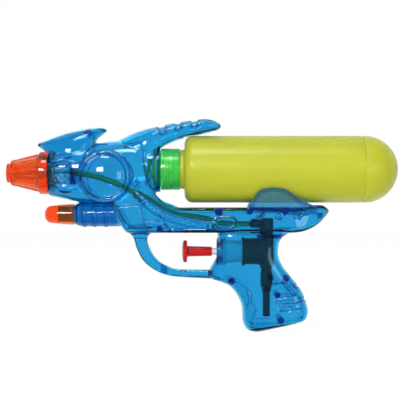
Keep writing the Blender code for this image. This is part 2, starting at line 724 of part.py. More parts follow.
def shell_features():
    """Posts and ribs inside the shells, from wall to wall."""
    posts = [rod("post", "Y", -FAR, FAR, radius, (x, 0, z), POST_SIDES) for x, z, radius in POSTS]
    start = INLET_RADIUS + FIT
    for along, above, radius in REST_POSTS:
        centre = (COLUMN_X + along, 0, INLET_FOOT_Z + above)
        posts.append(rod("post", "Y", start, FAR, radius, centre, POST_SIDES))
        posts.append(rod("post", "Y", -FAR, -start, radius, centre, POST_SIDES))
    ribs = [
        block("rib", (low_x, -FAR, low_z), (high_x, FAR, high_z))
        for low_x, low_z, high_x, high_z in (HOSE_RIB, PUMP_SHELF, *GUARD_WEBS)
    ]
    boss = rod("boss", "X", BOSS_X, BOSS_END_X, BOSS_RADIUS, (0, 0, PUMP_Z), BIG_SIDES)
    return joined("features", posts + ribs + [boss])


def body_hollow():
    """The space inside the body, with the posts and ribs left standing."""
    limbs = [limb(name, inside, power, HOLLOW_SIDES) for name, _, inside, power, _ in body_limbs()]
    space = joined_by_union("space", limbs)
    combine(space, dome("dome", WALL), "UNION")
    socket_x = SOCKET_REAR_X - SOCKET_DEPTH
    socket = rod("socket", "X", socket_x, SOCKET_INNER_X, SOCKET_RADIUS - WALL, (0, 0, BOTTLE_Z), BIG_SIDES)
    combine(space, socket, "UNION")
    combine(space, shell_features(), "DIFFERENCE")
    return space


def body_holes():
    """Cutters for what passes through the body's walls, and for what needs room inside it."""
    bottle_x = SHOULDER_X - BOTTLE_GAP
    pump = (0, 0, PUMP_Z)
    return (
        rod("hole", "X", MUZZLE_X - CUT_PAST, MUZZLE_X + CUT_PAST, NOZZLE_PLUG_RADIUS + FIT,
            (0, 0, NOZZLE_Z), BIG_SIDES),
        rod("hole", "X", LOWER_SPIGOT_X + WALL, LOWER_X + CUT_PAST, LOWER_SPIGOT_RADIUS - LOWER_SPIGOT_WALL,
            (0, 0, LOWER_Z)),
        rod("hole", "X", SOCKET_INNER_X - CUT_PAST, SOCKET_REAR_X + CUT_PAST, COLLAR_WAIST_RADIUS + FIT,
            (0, 0, BOTTLE_Z), BIG_SIDES),
        rod("hole", "X", BOSS_X - CUT_PAST, BARREL_X, STEM_RADIUS + BOSS_LIP_GAP, pump),
        rod("hole", "X", BOSS_X + BOSS_LIP, BOSS_END_X + CUT_PAST, BARREL_RADIUS + FIT, pump),
        rod("hole", "X", BOSS_END_X, BOSS_END_X + BARREL_SEAL_THICKNESS + 2 * FIT,
            BARREL_RADIUS + BARREL_SEAL_WIDTH + 2 * FIT, pump),
        rod("hole", "X", bottle_x, BOTTLE_END_X, BOTTLE_RADIUS + BOTTLE_GAP, (0, 0, BOTTLE_Z), BIG_SIDES),
        rod("hole", "Z", PUMP_SHELF[1] - CUT_PAST, PUMP_SHELF[3] + CUT_PAST, COLUMN_RADIUS + FIT,
            (COLUMN_X, 0, 0)),
        tube("hole", hose_points(), 0, HOSE_RADIUS + HOSE_ROOM),
    )


def shells():
    """The hollow body, split at the seam and pegged together at its posts."""
    body = outer_body()
    combine(body, body_hollow(), "DIFFERENCE", "MANIFOLD")
    for hole in body_holes():
        combine(body, hole, "DIFFERENCE", "MANIFOLD")
    seam = SEAM_GAP / 2
    left = copy_of(body, "left_shell")
    combine(left, block("half", (-FAR, -FAR, -FAR), (FAR, -seam, FAR)), "INTERSECT", "MANIFOLD")
    right = copy_of(body, "right_shell")
    combine(right, block("half", (-FAR, seam, -FAR), (FAR, FAR, FAR)), "INTERSECT", "MANIFOLD")
    bpy.data.objects.remove(body)
    root = -seam - PEG_ROOT
    depth = PEG_LENGTH + FIT
    room = PEG_RADIUS + FIT
    pegs = [rod("peg", "Y", root, PEG_LENGTH, PEG_RADIUS, (x, 0, z), POST_SIDES) for x, z, _ in POSTS]
    holes = [rod("peg_hole", "Y", -seam, depth, room, (x, 0, z), POST_SIDES) for x, z, _ in POSTS]
    combine(left, joined("pegs", pegs), "UNION", "MANIFOLD")
    combine(right, joined("peg_holes", holes), "DIFFERENCE", "MANIFOLD")
    return left, right


def nozzle():
    cone_x = NOZZLE_TIP_X + NOZZLE_TIP_LENGTH
    collar_x = NOZZLE_REAR_X - NOZZLE_COLLAR_LENGTH
    cone = []
    for step in range(5):
        share = step / 4
        waist = NOZZLE_WAIST * math.sin(math.pi * share)
        radius = NOZZLE_CONE_FRONT_RADIUS + (NOZZLE_CONE_REAR_RADIUS - NOZZLE_CONE_FRONT_RADIUS) * share
        cone.append((cone_x + (collar_x - cone_x) * share, radius - waist))
    sleeve_bore = JET_RADIUS + FIT
    sleeve_radius = sleeve_bore + JET_SLEEVE_WALL
    plug_end = MUZZLE_X + NOZZLE_PLUG_LENGTH
    plug_bore = NOZZLE_PLUG_RADIUS - NOZZLE_WALL
    profile = (
        (NOZZLE_TIP_X, sleeve_bore),
        (NOZZLE_TIP_X, NOZZLE_TIP_RADIUS - EDGE),
        (NOZZLE_TIP_X + EDGE, NOZZLE_TIP_RADIUS),
        (cone_x, NOZZLE_TIP_RADIUS),
        *cone,
        (collar_x + NOZZLE_COLLAR_BEVEL, NOZZLE_COLLAR_RADIUS),
        (NOZZLE_REAR_X - EDGE, NOZZLE_COLLAR_RADIUS),
        (NOZZLE_REAR_X, NOZZLE_COLLAR_RADIUS - EDGE),
        (NOZZLE_REAR_X, NOZZLE_PLUG_RADIUS),
        (plug_end, NOZZLE_PLUG_RADIUS),
        (plug_end, plug_bore),
        (NOZZLE_REAR_X - NOZZLE_WALL, plug_bore),
        (collar_x + NOZZLE_COLLAR_BEVEL, NOZZLE_CONE_REAR_RADIUS - NOZZLE_WALL),
        (cone_x + NOZZLE_WALL, NOZZLE_CONE_FRONT_RADIUS - NOZZLE_WALL),
        (cone_x + NOZZLE_WALL, sleeve_radius),
        (JET_SLEEVE_END_X, sleeve_radius),
        (JET_SLEEVE_END_X, sleeve_bore),
    )
    return turned("nozzle", profile, "X", (0, 0, NOZZLE_Z), BIG_SIDES)


def nozzle_jet():
    front = NOZZLE_TIP_X + JET_RECESS
    barb_end = JET_FLANGE_END_X + BARB_LENGTH
    profile = (
        (front, JET_BORE),
        (front, JET_RADIUS),
        (JET_FLANGE_X, JET_RADIUS),
        (JET_FLANGE_X, JET_FLANGE_RADIUS),
        (JET_FLANGE_END_X, JET_FLANGE_RADIUS),
        (JET_FLANGE_END_X, BARB_RADIUS),
        (barb_end, BARB_RADIUS),
        (barb_end, JET_BORE),
    )
    return turned("nozzle_jet", profile, "X", (0, 0, NOZZLE_Z))


def lower_tip():
    """A bullet-shaped cap, pushed over the lower barrel's spigot."""
    nose_x = TIP_REAR_X - TIP_LENGTH
    nose_end = nose_x + TIP_NOSE_LENGTH
    bore = LOWER_SPIGOT_RADIUS + FIT
    bore_x = LOWER_SPIGOT_X - FIT
    nose = [(nose_x, 0)]
    for angle in (30, 55, 75, 90):
        turn = math.radians(angle)
        nose.append((nose_end - TIP_NOSE_LENGTH * math.cos(turn), TIP_NOSE_RADIUS * math.sin(turn)))
    profile = (
        *nose,
        (nose_end + 0.3 * (TIP_REAR_X - nose_end), TIP_RADIUS - TIP_TAPER),
        (TIP_REAR_X, TIP_RADIUS),
        (TIP_REAR_X, bore),
        (bore_x, bore),
        (bore_x, 0),
    )
    return turned("lower_tip", profile, "X", (0, 0, LOWER_Z), BIG_SIDES)


def thread(name, root, crest, start, turns, centre):
    """One screw ridge along X, faded in and out, that sinks a little into the wall it stands on."""
    steps = round(THREAD_STEPS * turns)
    sunk = root - math.copysign(THREAD_SUNK, crest - root)
    sections = []
    for step in range(steps + 1):
        angle = math.tau * step / THREAD_STEPS
        x = start + THREAD_PITCH * step / THREAD_STEPS
        share = (min(step, steps - step) + 0.4) / THREAD_FADE_STEPS
        height = root + (crest - root) * min(1, share)
        shape = (
            (-THREAD_ROOT_WIDTH / 2, sunk),
            (-THREAD_ROOT_WIDTH / 2, root),
            (-THREAD_CREST_WIDTH / 2, height),
            (THREAD_CREST_WIDTH / 2, height),
            (THREAD_ROOT_WIDTH / 2, root),
            (THREAD_ROOT_WIDTH / 2, sunk),
        )
        sections.append([(x + along, r * math.cos(angle), r * math.sin(angle)) for along, r in shape])
    ridge = lofted(name, sections)
    ridge.location = centre
    return ridge


def neck_collar():
    profile = (
        (COLLAR_INLET_X, COLLAR_BORE),
        (COLLAR_INLET_X, COLLAR_INLET_RADIUS),
        (COLLAR_FLANGE_X, COLLAR_INLET_RADIUS),
        (COLLAR_FLANGE_X, COLLAR_FLANGE_RADIUS),
        (COLLAR_FLANGE_END_X, COLLAR_FLANGE_RADIUS),
        (COLLAR_FLANGE_END_X, COLLAR_WAIST_RADIUS),
        (COLLAR_X, COLLAR_WAIST_RADIUS),
        (COLLAR_X, COLLAR_OUTER_RADIUS - COLLAR_EDGE),
        (COLLAR_X + COLLAR_EDGE, COLLAR_OUTER_RADIUS),
        (COLLAR_END_X - COLLAR_EDGE, COLLAR_OUTER_RADIUS),
        (COLLAR_END_X, COLLAR_OUTER_RADIUS - COLLAR_EDGE),
        (COLLAR_END_X, COLLAR_INNER_RADIUS),
        (COLLAR_FLOOR_X, COLLAR_INNER_RADIUS),
        (COLLAR_FLOOR_X, COLLAR_BORE),
    )
    centre = (0, 0, BOTTLE_Z)
    collar = turned("neck_collar", profile, "X", centre, BIG_SIDES)
    crest = NECK_RADIUS + THREAD_CLEARANCE
    ridge = thread("ridge", COLLAR_INNER_RADIUS, crest, COLLAR_THREAD_X, THREAD_TURNS, centre)
    combine(collar, ridge, "UNION")
    return collar


def collar_gasket():
    start = GASKET_END_X - GASKET_THICKNESS
    inner = COLLAR_WAIST_RADIUS + FIT
    return ring("collar_gasket", "X", start, GASKET_END_X, inner, COLLAR_FLANGE_RADIUS,
                (0, 0, BOTTLE_Z), BIG_SIDES)


def neck_seal():
    inner = NECK_RADIUS - SEAL_WIDTH
    end = SEAL_X + SEAL_THICKNESS
    return ring("neck_seal", "X", SEAL_X, end, inner, NECK_RADIUS, (0, 0, BOTTLE_Z), BIG_SIDES)


def bottle():
    corner_x = SHOULDER_X + BOTTLE_CORNER
    corner_z = BOTTLE_RADIUS - BOTTLE_CORNER
    groove = DOME_CENTRE_X - BOTTLE_GROOVE_TO_DOME
    inside = BOTTLE_RADIUS - BOTTLE_WALL
    outer_dome = arc((DOME_CENTRE_X, 0), BOTTLE_RADIUS, 15, 90, 5)
    inner_dome = arc((DOME_CENTRE_X, 0), inside, 90, 18, 4)
    outer_corner = arc((corner_x, corner_z), BOTTLE_CORNER, 90, 180, 4)
    inner_corner = arc((corner_x, corner_z), BOTTLE_CORNER - BOTTLE_WALL, 180, 90, 3)
    bore = NECK_RADIUS - NECK_WALL
    profile = (
        (BOTTLE_END_X, 0),
        *outer_dome,
        (groove + BOTTLE_GROOVE_WIDTH / 2, BOTTLE_RADIUS),
        (groove, BOTTLE_RADIUS - BOTTLE_GROOVE_DEPTH),
        (groove - BOTTLE_GROOVE_WIDTH / 2, BOTTLE_RADIUS),
        *outer_corner,
        (SHOULDER_X, NECK_BEAD_RADIUS),
        (BEAD_X, NECK_BEAD_RADIUS),
        (BEAD_X, NECK_RADIUS),
        (MOUTH_X, NECK_RADIUS),
        (MOUTH_X, bore),
        (SHOULDER_X + BOTTLE_WALL, bore),
        *inner_corner,
        (groove, inside - BOTTLE_GROOVE_DEPTH / 2),
        *inner_dome,
        (BOTTLE_END_X - BOTTLE_WALL, 0),
    )
    centre = (0, 0, BOTTLE_Z)
    body = turned("bottle", profile, "X", centre, BIG_SIDES)
    ridge = thread("ridge", NECK_RADIUS, NECK_RADIUS + THREAD_DEPTH, BOTTLE_THREAD_X, THREAD_TURNS, centre)
    combine(body, ridge, "UNION")
    return body


def trigger():
    dome_end = TRIGGER_X + TRIGGER_DOME
    socket_x = STEM_END_X - STEM_SOCKET_DEPTH
    socket_radius = ROD_RADIUS + FIT
    face = [(TRIGGER_X, 0)]
    for angle in (25, 50, 75, 90):
        turn = math.radians(angle)
        face.append((dome_end - TRIGGER_DOME * math.cos(turn), TRIGGER_RADIUS * math.sin(turn)))
    profile = (
        *face,
        (TRIGGER_BACK_X - EDGE, TRIGGER_RADIUS),
        (TRIGGER_BACK_X, TRIGGER_RADIUS - EDGE),
        (TRIGGER_BACK_X, STEM_RADIUS),
        (STEM_END_X, STEM_RADIUS),
        (STEM_END_X, socket_radius),
        (socket_x, socket_radius),
        (socket_x, 0),
    )
    return turned("trigger", profile, "X", (0, 0, PUMP_Z), BIG_SIDES)


def piston_sizes():
    """Radius of the piston head, and start and end of its seal groove."""
    groove_x = PISTON_X + (PISTON_LENGTH - PISTON_GROOVE_WIDTH) / 2
    return BARREL_BORE - PISTON_CLEARANCE, groove_x, groove_x + PISTON_GROOVE_WIDTH


def plunger():
    head, groove_x, groove_end = piston_sizes()
    profile = (
        (ROD_X, 0),
        (ROD_X, ROD_RADIUS),
        (PISTON_X, ROD_RADIUS),
        (PISTON_X, head),
        (groove_x, head),
        (groove_x, head - PISTON_GROOVE_DEPTH),
        (groove_end, head - PISTON_GROOVE_DEPTH),
        (groove_end, head),
        (PISTON_END_X, head),
        (PISTON_END_X, 0),
    )
    return turned("plunger", profile, "X", (0, 0, PUMP_Z))


def piston_seal():
    head, groove_x, groove_end = piston_sizes()
    inner = head - PISTON_GROOVE_DEPTH + FIT
    outer = BARREL_BORE - FIT / 2
    return ring("piston_seal", "X", groove_x + FIT, groove_end - FIT, inner, outer, (0, 0, PUMP_Z))


def pump_barrel():
    return ring("pump_barrel", "X", BARREL_X, BARREL_END_X, BARREL_BORE, BARREL_RADIUS, (0, 0, PUMP_Z))


def barrel_seal():
    start = BOSS_END_X + FIT
    end = start + BARREL_SEAL_THICKNESS
    inner = BARREL_RADIUS + FIT
    return ring("barrel_seal", "X", start, end, inner, inner + BARREL_SEAL_WIDTH, (0, 0, PUMP_Z))


def spring_points():
    """Middle line of the return spring, as one unbroken helix about the pump axis."""
    count = SPRING_TURNS * SPRING_POINTS_PER_TURN
    points = []
    for step in range(count + 1):
        angle = math.tau * step / SPRING_POINTS_PER_TURN
        x = SPRING_X + (SPRING_END_X - SPRING_X) * step / count
        points.append(Vector((x, SPRING_RADIUS * math.cos(angle), SPRING_RADIUS * math.sin(angle))))
    return points


def least_self_gap(points, thickness, apart):
    """Least clear distance between stretches of a wound tube that aren't neighbours."""
    gaps = [
        (points[first] - points[second]).length - thickness
        for first in range(len(points))
        for second in range(first + apart, len(points))
    ]
    return min(gaps)


def return_spring():
    points = spring_points()
    gap = least_self_gap(points, 2 * SPRING_WIRE_RADIUS, SPRING_POINTS_PER_TURN // 2)
    print(f"return_spring: least gap to itself {gap * 1000:.2f} mm")
    curve = bpy.data.curves.new("return_spring", "CURVE")
    curve.dimensions = "3D"
    curve.bevel_depth = SPRING_WIRE_RADIUS
    curve.bevel_resolution = 1
    curve.use_fill_caps = True
    spline = curve.splines.new("POLY")
    spline.points.add(len(points) - 1)
    for knot, point in zip(spline.points, points):
        knot.co = (*point, 1)
    spring = bpy.data.objects.new("return_spring", curve)
    spring.location = (0, 0, PUMP_Z)
    bpy.context.scene.collection.objects.link(spring)
    return spring


def valve_block():
    """The pump block: a socket for the barrel, a chamber, and a column with a valve cage at its top."""
    pump = (0, 0, PUMP_Z)
    column = (COLUMN_X, 0, 0)
    depth = BLOCK_RADIUS - FIT
    body = rod("valve_block", "X", BLOCK_X, BLOCK_X + BLOCK_LENGTH, BLOCK_RADIUS, pump, BIG_SIDES)
    flange_end = BLOCK_X + BLOCK_FLANGE_LENGTH
    flange = rod("flange", "X", BLOCK_X - FIT, flange_end, BLOCK_FLANGE_RADIUS, pump, BIG_SIDES)
    combine(body, flange, "UNION")
    back_low = (CHAMBER_END_X - WALL, -COLUMN_RADIUS, PUMP_Z - depth)
    back_high = (COLUMN_X + COLUMN_RADIUS, COLUMN_RADIUS, PUMP_Z + depth)
    combine(body, block("back", back_low, back_high), "UNION")
    top_spigot = COLUMN_TOP_Z + OUTLET_SPIGOT_LENGTH
    foot_spigot = COLUMN_BOTTOM_Z - INLET_SPIGOT_LENGTH
    neck = COLUMN_RADIUS - FIT
    combine(body, rod("column", "Z", COLUMN_BOTTOM_Z, COLUMN_TOP_Z, neck, column), "UNION")
    combine(body, rod("spigot", "Z", PUMP_Z, top_spigot, OUTLET_SPIGOT_RADIUS, column), "UNION")
    combine(body, rod("spigot", "Z", foot_spigot, PUMP_Z, INLET_SPIGOT_RADIUS, column), "UNION")
    socket = rod("cut", "X", BLOCK_X - CUT_PAST, BLOCK_FLOOR_X, BARREL_RADIUS + FIT, pump)
    combine(body, socket, "DIFFERENCE")
    combine(body, rod("cut", "X", BLOCK_X, CHAMBER_END_X, CHAMBER_RADIUS, pump), "DIFFERENCE")
    port = rod("cut", "X", CHAMBER_END_X - CUT_PAST, COLUMN_X, PORT_RADIUS, pump, PORT_SIDES)
    combine(body, port, "DIFFERENCE")
    way_top = OUTLET_SEAT_Z + CUT_PAST
    way = rod("cut", "Z", foot_spigot - CUT_PAST, way_top, PORT_RADIUS, column, PORT_SIDES)
    combine(body, way, "DIFFERENCE")
    combine(body, rod("cut", "Z", OUTLET_SEAT_Z, top_spigot + CUT_PAST, CAGE_RADIUS, column), "DIFFERENCE")
    return body


def inlet_fitting():
    socket = INLET_SPIGOT_RADIUS + FIT
    socket_z = COLUMN_BOTTOM_Z - INLET_SPIGOT_LENGTH - FIT
    dip_socket = DIP_RADIUS + FIT
    profile = (
        (INLET_FOOT_Z, dip_socket),
        (INLET_FOOT_Z, INLET_RADIUS),
        (INLET_TOP_Z, INLET_RADIUS),
        (INLET_TOP_Z, socket),
        (socket_z, socket),
        (socket_z, CAGE_RADIUS),
        (INLET_SEAT_Z, CAGE_RADIUS),
        (INLET_SEAT_Z, PORT_RADIUS),
        (DIP_TOP_Z + FIT, PORT_RADIUS),
        (DIP_TOP_Z + FIT, dip_socket),
    )
    return turned("inlet_fitting", profile, "Z", (COLUMN_X, 0, 0))


def valve_ball(name, seat_z):
    profile = [(along, max(radius, 0)) for along, radius in arc((0, 0), BALL_RADIUS, 0, 180, 8)]
    profile[0] = (BALL_RADIUS, 0)
    profile[-1] = (-BALL_RADIUS, 0)
    return turned(name, profile, "Z", (COLUMN_X, 0, seat_z + BALL_SEAT_RISE), PORT_SIDES)


def dip_tube():
    inner = DIP_RADIUS - DIP_WALL
    return ring("dip_tube", "Z", DIP_FOOT_Z, DIP_TOP_Z, inner, DIP_RADIUS, (COLUMN_X, 0, 0))


def outlet_elbow():
    """An elbow that caps the valve column, stops its ball and turns the water forward to the hose."""
    column = (COLUMN_X, 0, 0)
    level = (0, 0, ELBOW_Z)
    top = ELBOW_Z + ELBOW_CROWN
    barb_x = ELBOW_STUB_X - BARB_LENGTH
    body = rod("outlet_elbow", "Z", ELBOW_FOOT_Z, top, ELBOW_SOCKET_RADIUS, column)
    combine(body, rod("arm", "X", ELBOW_STUB_END_X, COLUMN_X, ELBOW_RADIUS, level), "UNION")
    combine(body, rod("stub", "X", ELBOW_STUB_X, COLUMN_X, ELBOW_STUB_RADIUS, level), "UNION")
    combine(body, rod("barb", "X", barb_x, COLUMN_X, BARB_RADIUS, level, PORT_SIDES), "UNION")
    socket = OUTLET_SPIGOT_RADIUS + FIT
    ceiling = top - ELBOW_CAP
    combine(body, rod("cut", "Z", ELBOW_FOOT_Z - CUT_PAST, ceiling, socket, column), "DIFFERENCE")
    bore_end = COLUMN_X - socket / 2
    combine(body, rod("cut", "X", barb_x - CUT_PAST, bore_end, ELBOW_BORE, level, PORT_SIDES), "DIFFERENCE")
    stop_z = OUTLET_SEAT_Z + BALL_SEAT_RISE + BALL_RADIUS + BALL_LIFT + FIT
    stop = rod("stop", "Z", stop_z, ceiling + ELBOW_CAP / 2, BALL_STOP_RADIUS, column, PORT_SIDES)
    combine(body, stop, "UNION")
    return body


def smooth_through(knots, steps):
    """Points of a smooth curve through the knots, with the ends kept."""
    ends = [2 * knots[0] - knots[1], *knots, 2 * knots[-1] - knots[-2]]
    points = []
    for before, start, end, after in zip(ends, ends[1:], ends[2:], ends[3:]):
        for step in range(steps):
            t = step / steps
            points.append(
                0.5
                * (
                    2 * start
                    + (end - before) * t
                    + (2 * before - 5 * start + 4 * end - after) * t**2
                    + (3 * start - before - 3 * end + after) * t**3
                )
            )
    return points + [knots[-1]]


def hose_points():
    """The hose's middle line, straight where it sits on a barb."""
    straight = BARB_LENGTH + HOSE_STRAIGHT_PAST_BARB
    knots = [Vector((HOSE_START_X, 0, NOZZLE_Z)), Vector((HOSE_START_X + straight, 0, NOZZLE_Z))]
    knots += [Vector((x, 0, z)) for x, z in HOSE_ROUTE]
    knots += [Vector((HOSE_END_X - straight, 0, ELBOW_Z)), Vector((HOSE_END_X, 0, ELBOW_Z))]
    return [knots[0], *smooth_through(knots[1:-1], 1), knots[-1]]


def tube_ring(points, index, radius):
    """One ring of a tube that runs in the XZ plane, square to the tube."""
    before = points[max(index - 1, 0)]
    after = points[min(index + 1, len(points) - 1)]
    along = (after - before).normalized()
    across = Vector((-along.z, 0, along.x))
    side = Vector((0, 1, 0))
    turns = [math.tau * (step + 0.5) / HOSE_SIDES for step in range(HOSE_SIDES)]
    return [tuple(points[index] + radius * (across * math.cos(a) + side * math.sin(a))) for a in turns]


def tube(name, points, bore, radius):
    """A round tube along points in the XZ plane, solid where the bore is 0."""
    outside = [tube_ring(points, index, radius) for index in range(len(points))]
    if bore == 0:
        return lofted(name, outside)
    inside = [tube_ring(points, index, bore) for index in reversed(range(len(points)))]
    rings = outside + inside
    corners = [corner for circle in rings for corner in circle]
    faces = []
    for row in range(len(rings)):
        following = (row + 1) % len(rings)
        for index in range(HOSE_SIDES):
            after = (index + 1) % HOSE_SIDES
            faces.append((
                row * HOSE_SIDES + index,
                row * HOSE_SIDES + after,
                following * HOSE_SIDES + after,
                following * HOSE_SIDES + index,
            ))
    return add_object(name, corners, faces)


def hose():
    return tube("hose", hose_points(), HOSE_BORE, HOSE_RADIUS)


def finish(piece, colour, roughness, metallic=0.0, transmission=0.0):
    """Give a piece its own material and smooth shading."""
    material = bpy.data.materials.new(piece.name)
    material.use_nodes = True
    shader = material.node_tree.nodes["Principled BSDF"]
    shader.inputs["Base Color"].default_value = (*colour, 1)
    shader.inputs["Roughness"].default_value = roughness
    shader.inputs["Metallic"].default_value = metallic
    shader.inputs["Transmission Weight"].default_value = transmission
    piece.data.materials.clear()
    piece.data.materials.append(material)
    if piece.type == "MESH":
        piece.data.shade_smooth()
        piece.data.set_sharp_from_angle(angle=math.radians(35))


BLUE = (0.020, 0.340, 0.680)
ORANGE = (0.900, 0.140, 0.010)
GREEN = (0.030, 0.550, 0.050)
LIME = (0.600, 0.660, 0.060)
RED = (0.520, 0.006, 0.004)
BLACK = (0.010, 0.010, 0.012)
WHITE = (0.800, 0.800, 0.780)
STEEL = (0.560, 0.560, 0.570)


def build():
    for old in list(bpy.data.objects):
        bpy.data.objects.remove(old)
    for shell in shells():
        finish(shell, BLUE, 0.08, transmission=0.9)
    finish(nozzle(), ORANGE, 0.12, transmission=0.6)
    finish(nozzle_jet(), BLACK, 0.4)
    finish(lower_tip(), ORANGE, 0.12, transmission=0.6)
    finish(neck_collar(), GREEN, 0.25)
    finish(collar_gasket(), BLACK, 0.7)
    finish(neck_seal(), WHITE, 0.6)
    finish(bottle(), LIME, 0.3, transmission=0.3)
    finish(trigger(), RED, 0.2)
    finish(plunger(), WHITE, 0.35)
    finish(piston_seal(), BLACK, 0.7)
    finish(pump_barrel(), WHITE, 0.3)
    finish(barrel_seal(), WHITE, 0.6)
    finish(return_spring(), STEEL, 0.3, metallic=1.0)
    finish(valve_block(), BLACK, 0.35)
    finish(inlet_fitting(), BLACK, 0.35)
    finish(valve_ball("inlet_ball", INLET_SEAT_Z), STEEL, 0.2, metallic=1.0)
    finish(valve_ball("outlet_ball", OUTLET_SEAT_Z), STEEL, 0.2, metallic=1.0)
    finish(dip_tube(), BLACK, 0.4)
    finish(outlet_elbow(), BLACK, 0.35)
    finish(hose(), GREEN, 0.35)


build()
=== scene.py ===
"""The looks of the see-through water squirter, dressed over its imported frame, in metres, +Z up.

The muzzle points to -X, the bottle lies along +X, and Y = 0 is the seam between the two half shells.
The shells are lofted from the body's own outline, with their moulded relief raised or sunk in the mesh.
"""

import math

import bmesh
import bpy
import numpy as np
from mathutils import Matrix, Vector


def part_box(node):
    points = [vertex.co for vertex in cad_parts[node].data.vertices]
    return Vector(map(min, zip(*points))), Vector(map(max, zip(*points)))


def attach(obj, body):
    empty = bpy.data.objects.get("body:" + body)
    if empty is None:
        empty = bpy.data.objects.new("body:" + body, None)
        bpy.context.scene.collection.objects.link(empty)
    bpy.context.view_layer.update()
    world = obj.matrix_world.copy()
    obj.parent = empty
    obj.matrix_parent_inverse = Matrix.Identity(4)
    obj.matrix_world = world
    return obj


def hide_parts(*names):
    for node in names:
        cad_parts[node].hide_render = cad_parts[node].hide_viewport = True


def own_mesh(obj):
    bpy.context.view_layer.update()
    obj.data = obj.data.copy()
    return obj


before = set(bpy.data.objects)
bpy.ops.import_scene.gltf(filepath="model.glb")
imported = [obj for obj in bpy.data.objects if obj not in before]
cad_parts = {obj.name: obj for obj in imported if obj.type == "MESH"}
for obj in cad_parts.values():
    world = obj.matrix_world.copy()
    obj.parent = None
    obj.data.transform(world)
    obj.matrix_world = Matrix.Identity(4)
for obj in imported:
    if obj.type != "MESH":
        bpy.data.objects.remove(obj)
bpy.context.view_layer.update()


def node_middle(node):
    low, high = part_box(node)
    return (low + high) / 2


def node_radius(node):
    """Half the height of a node that is round about an axis along X."""
    low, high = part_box(node)
    return (high.z - low.z) / 2


# Clearances and walls
FIT = 0.0003
SEAM_GAP = 0.0002
WALL = 0.0018
GUARD_WALL = 0.0015
BOTTLE_GAP = 0.0007
CUT_PAST = 0.0040
FAR = 0.2
THIN_SPAN_SHARE = 0.22
THIN_HALF_SHARE = 0.45

# How far corners are rounded off
LARGE_EDGE = 0.0012
MOULDED_EDGE = 0.0006
SOFT_EDGE = 0.0005
SMALL_EDGE = 0.0004
FINE_EDGE = 0.0003
THIN_EDGE = 0.0002
CORNER_SHARE = 0.4
CORNER_STEPS = 3
NEARLY_STRAIGHT = math.radians(165)

# Axes and faces read from the frame
NOZZLE_Z = node_middle("nozzle").z
BOTTLE_Z = node_middle("bottle").z
LOWER_Z = node_middle("lower_tip").z
PUMP_Z = node_middle("trigger").z
COLUMN_X = node_middle("dip_tube").x
BOTTLE_RADIUS = node_radius("bottle")
BOTTLE_END_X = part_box("bottle")[1].x
MOUTH_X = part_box("bottle")[0].x

# Muzzle and nozzle
NOZZLE_PLUG_LENGTH = 0.0034
MUZZLE_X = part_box("nozzle")[1].x - NOZZLE_PLUG_LENGTH
MUZZLE_RADIUS = 0.0169
NOZZLE_REAR_X = MUZZLE_X - FIT
NOZZLE_TIP_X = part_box("nozzle")[0].x
NOZZLE_WALL = 0.0018
NOZZLE_TIP_RADIUS = 0.0074
NOZZLE_TIP_LENGTH = 0.0032
NOZZLE_CONE_FRONT_RADIUS = 0.0096
NOZZLE_CONE_REAR_RADIUS = 0.0136
NOZZLE_COLLAR_RADIUS = node_radius("nozzle")
NOZZLE_COLLAR_LENGTH = 0.0085
NOZZLE_COLLAR_BEVEL = 0.0014
NOZZLE_COLLAR_GROOVE = 0.0006
NOZZLE_CONE_WAIST = 0.0005
NOZZLE_PLUG_RADIUS = 0.0118
NOZZLE_FLUTES = 12
NOZZLE_FLUTE_HEIGHT = 0.0009
NOZZLE_FLUTE_SHARPNESS = 5
FLUTE_GROWTH = 0.6
JET_RADIUS = 0.0024
JET_BORE = 0.0007
JET_SLEEVE_WALL = 0.0017
JET_SLEEVE_GAP_TO_MUZZLE = 0.0033
JET_FLANGE_LENGTH = 0.0062
JET_SLEEVE_END_X = MUZZLE_X - JET_SLEEVE_GAP_TO_MUZZLE
JET_FLANGE_X = JET_SLEEVE_END_X + FIT
JET_FLANGE_END_X = JET_FLANGE_X + JET_FLANGE_LENGTH

# Lower barrel and its tip
LOWER_X = -0.0956
LOWER_RADIUS = 0.0091
LOWER_FRONT_RADIUS = 0.0072
LOWER_LENGTH = 0.0367
LOWER_NOSE = 0.0055
LOWER_RIBS = (0.0067, 0.0142, 0.0228)
LOWER_RIB_WIDTH = 0.0012
LOWER_RIB_HEIGHT = 0.0006
LOWER_SPIGOT_RADIUS = 0.0058
LOWER_SPIGOT_LENGTH = 0.0120
LOWER_SPIGOT_WALL = 0.0013
LOWER_SPIGOT_X = LOWER_X - LOWER_SPIGOT_LENGTH
TIP_REAR_X = LOWER_X - FIT
TIP_NOSE_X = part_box("lower_tip")[0].x
TIP_RADIUS = node_radius("lower_tip")
TIP_NOSE_RADIUS = 0.0064
TIP_NOSE_LENGTH = 0.0045
TIP_FLANK_SHARES = np.linspace(0.1, 1, 8)

# Neck collar, bottle and their thread
COLLAR_INLET_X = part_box("neck_collar")[0].x
COLLAR_END_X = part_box("neck_collar")[1].x
COLLAR_LENGTH = 0.0142
COLLAR_X = COLLAR_END_X - COLLAR_LENGTH
COLLAR_RADIUS = node_radius("neck_collar")
COLLAR_WALL = 0.0016
COLLAR_WAIST_RADIUS = 0.0122
COLLAR_FLANGE_RADIUS = 0.0146
COLLAR_FLANGE_LENGTH = 0.0018
COLLAR_INLET_RADIUS = 0.0082
COLLAR_INLET_LENGTH = 0.0044
COLLAR_BORE = 0.0050
SOCKET_RADIUS = 0.0170
SOCKET_DEPTH = 0.0150
SOCKET_REAR_X = COLLAR_X - FIT
SOCKET_INNER_X = SOCKET_REAR_X - WALL
NECK_RADIUS = 0.0124
NECK_WALL = 0.0015
NECK_BEAD_RADIUS = 0.0147
NECK_BEAD_LENGTH = 0.0031
NECK_SEAL_WIDTH = 0.0034
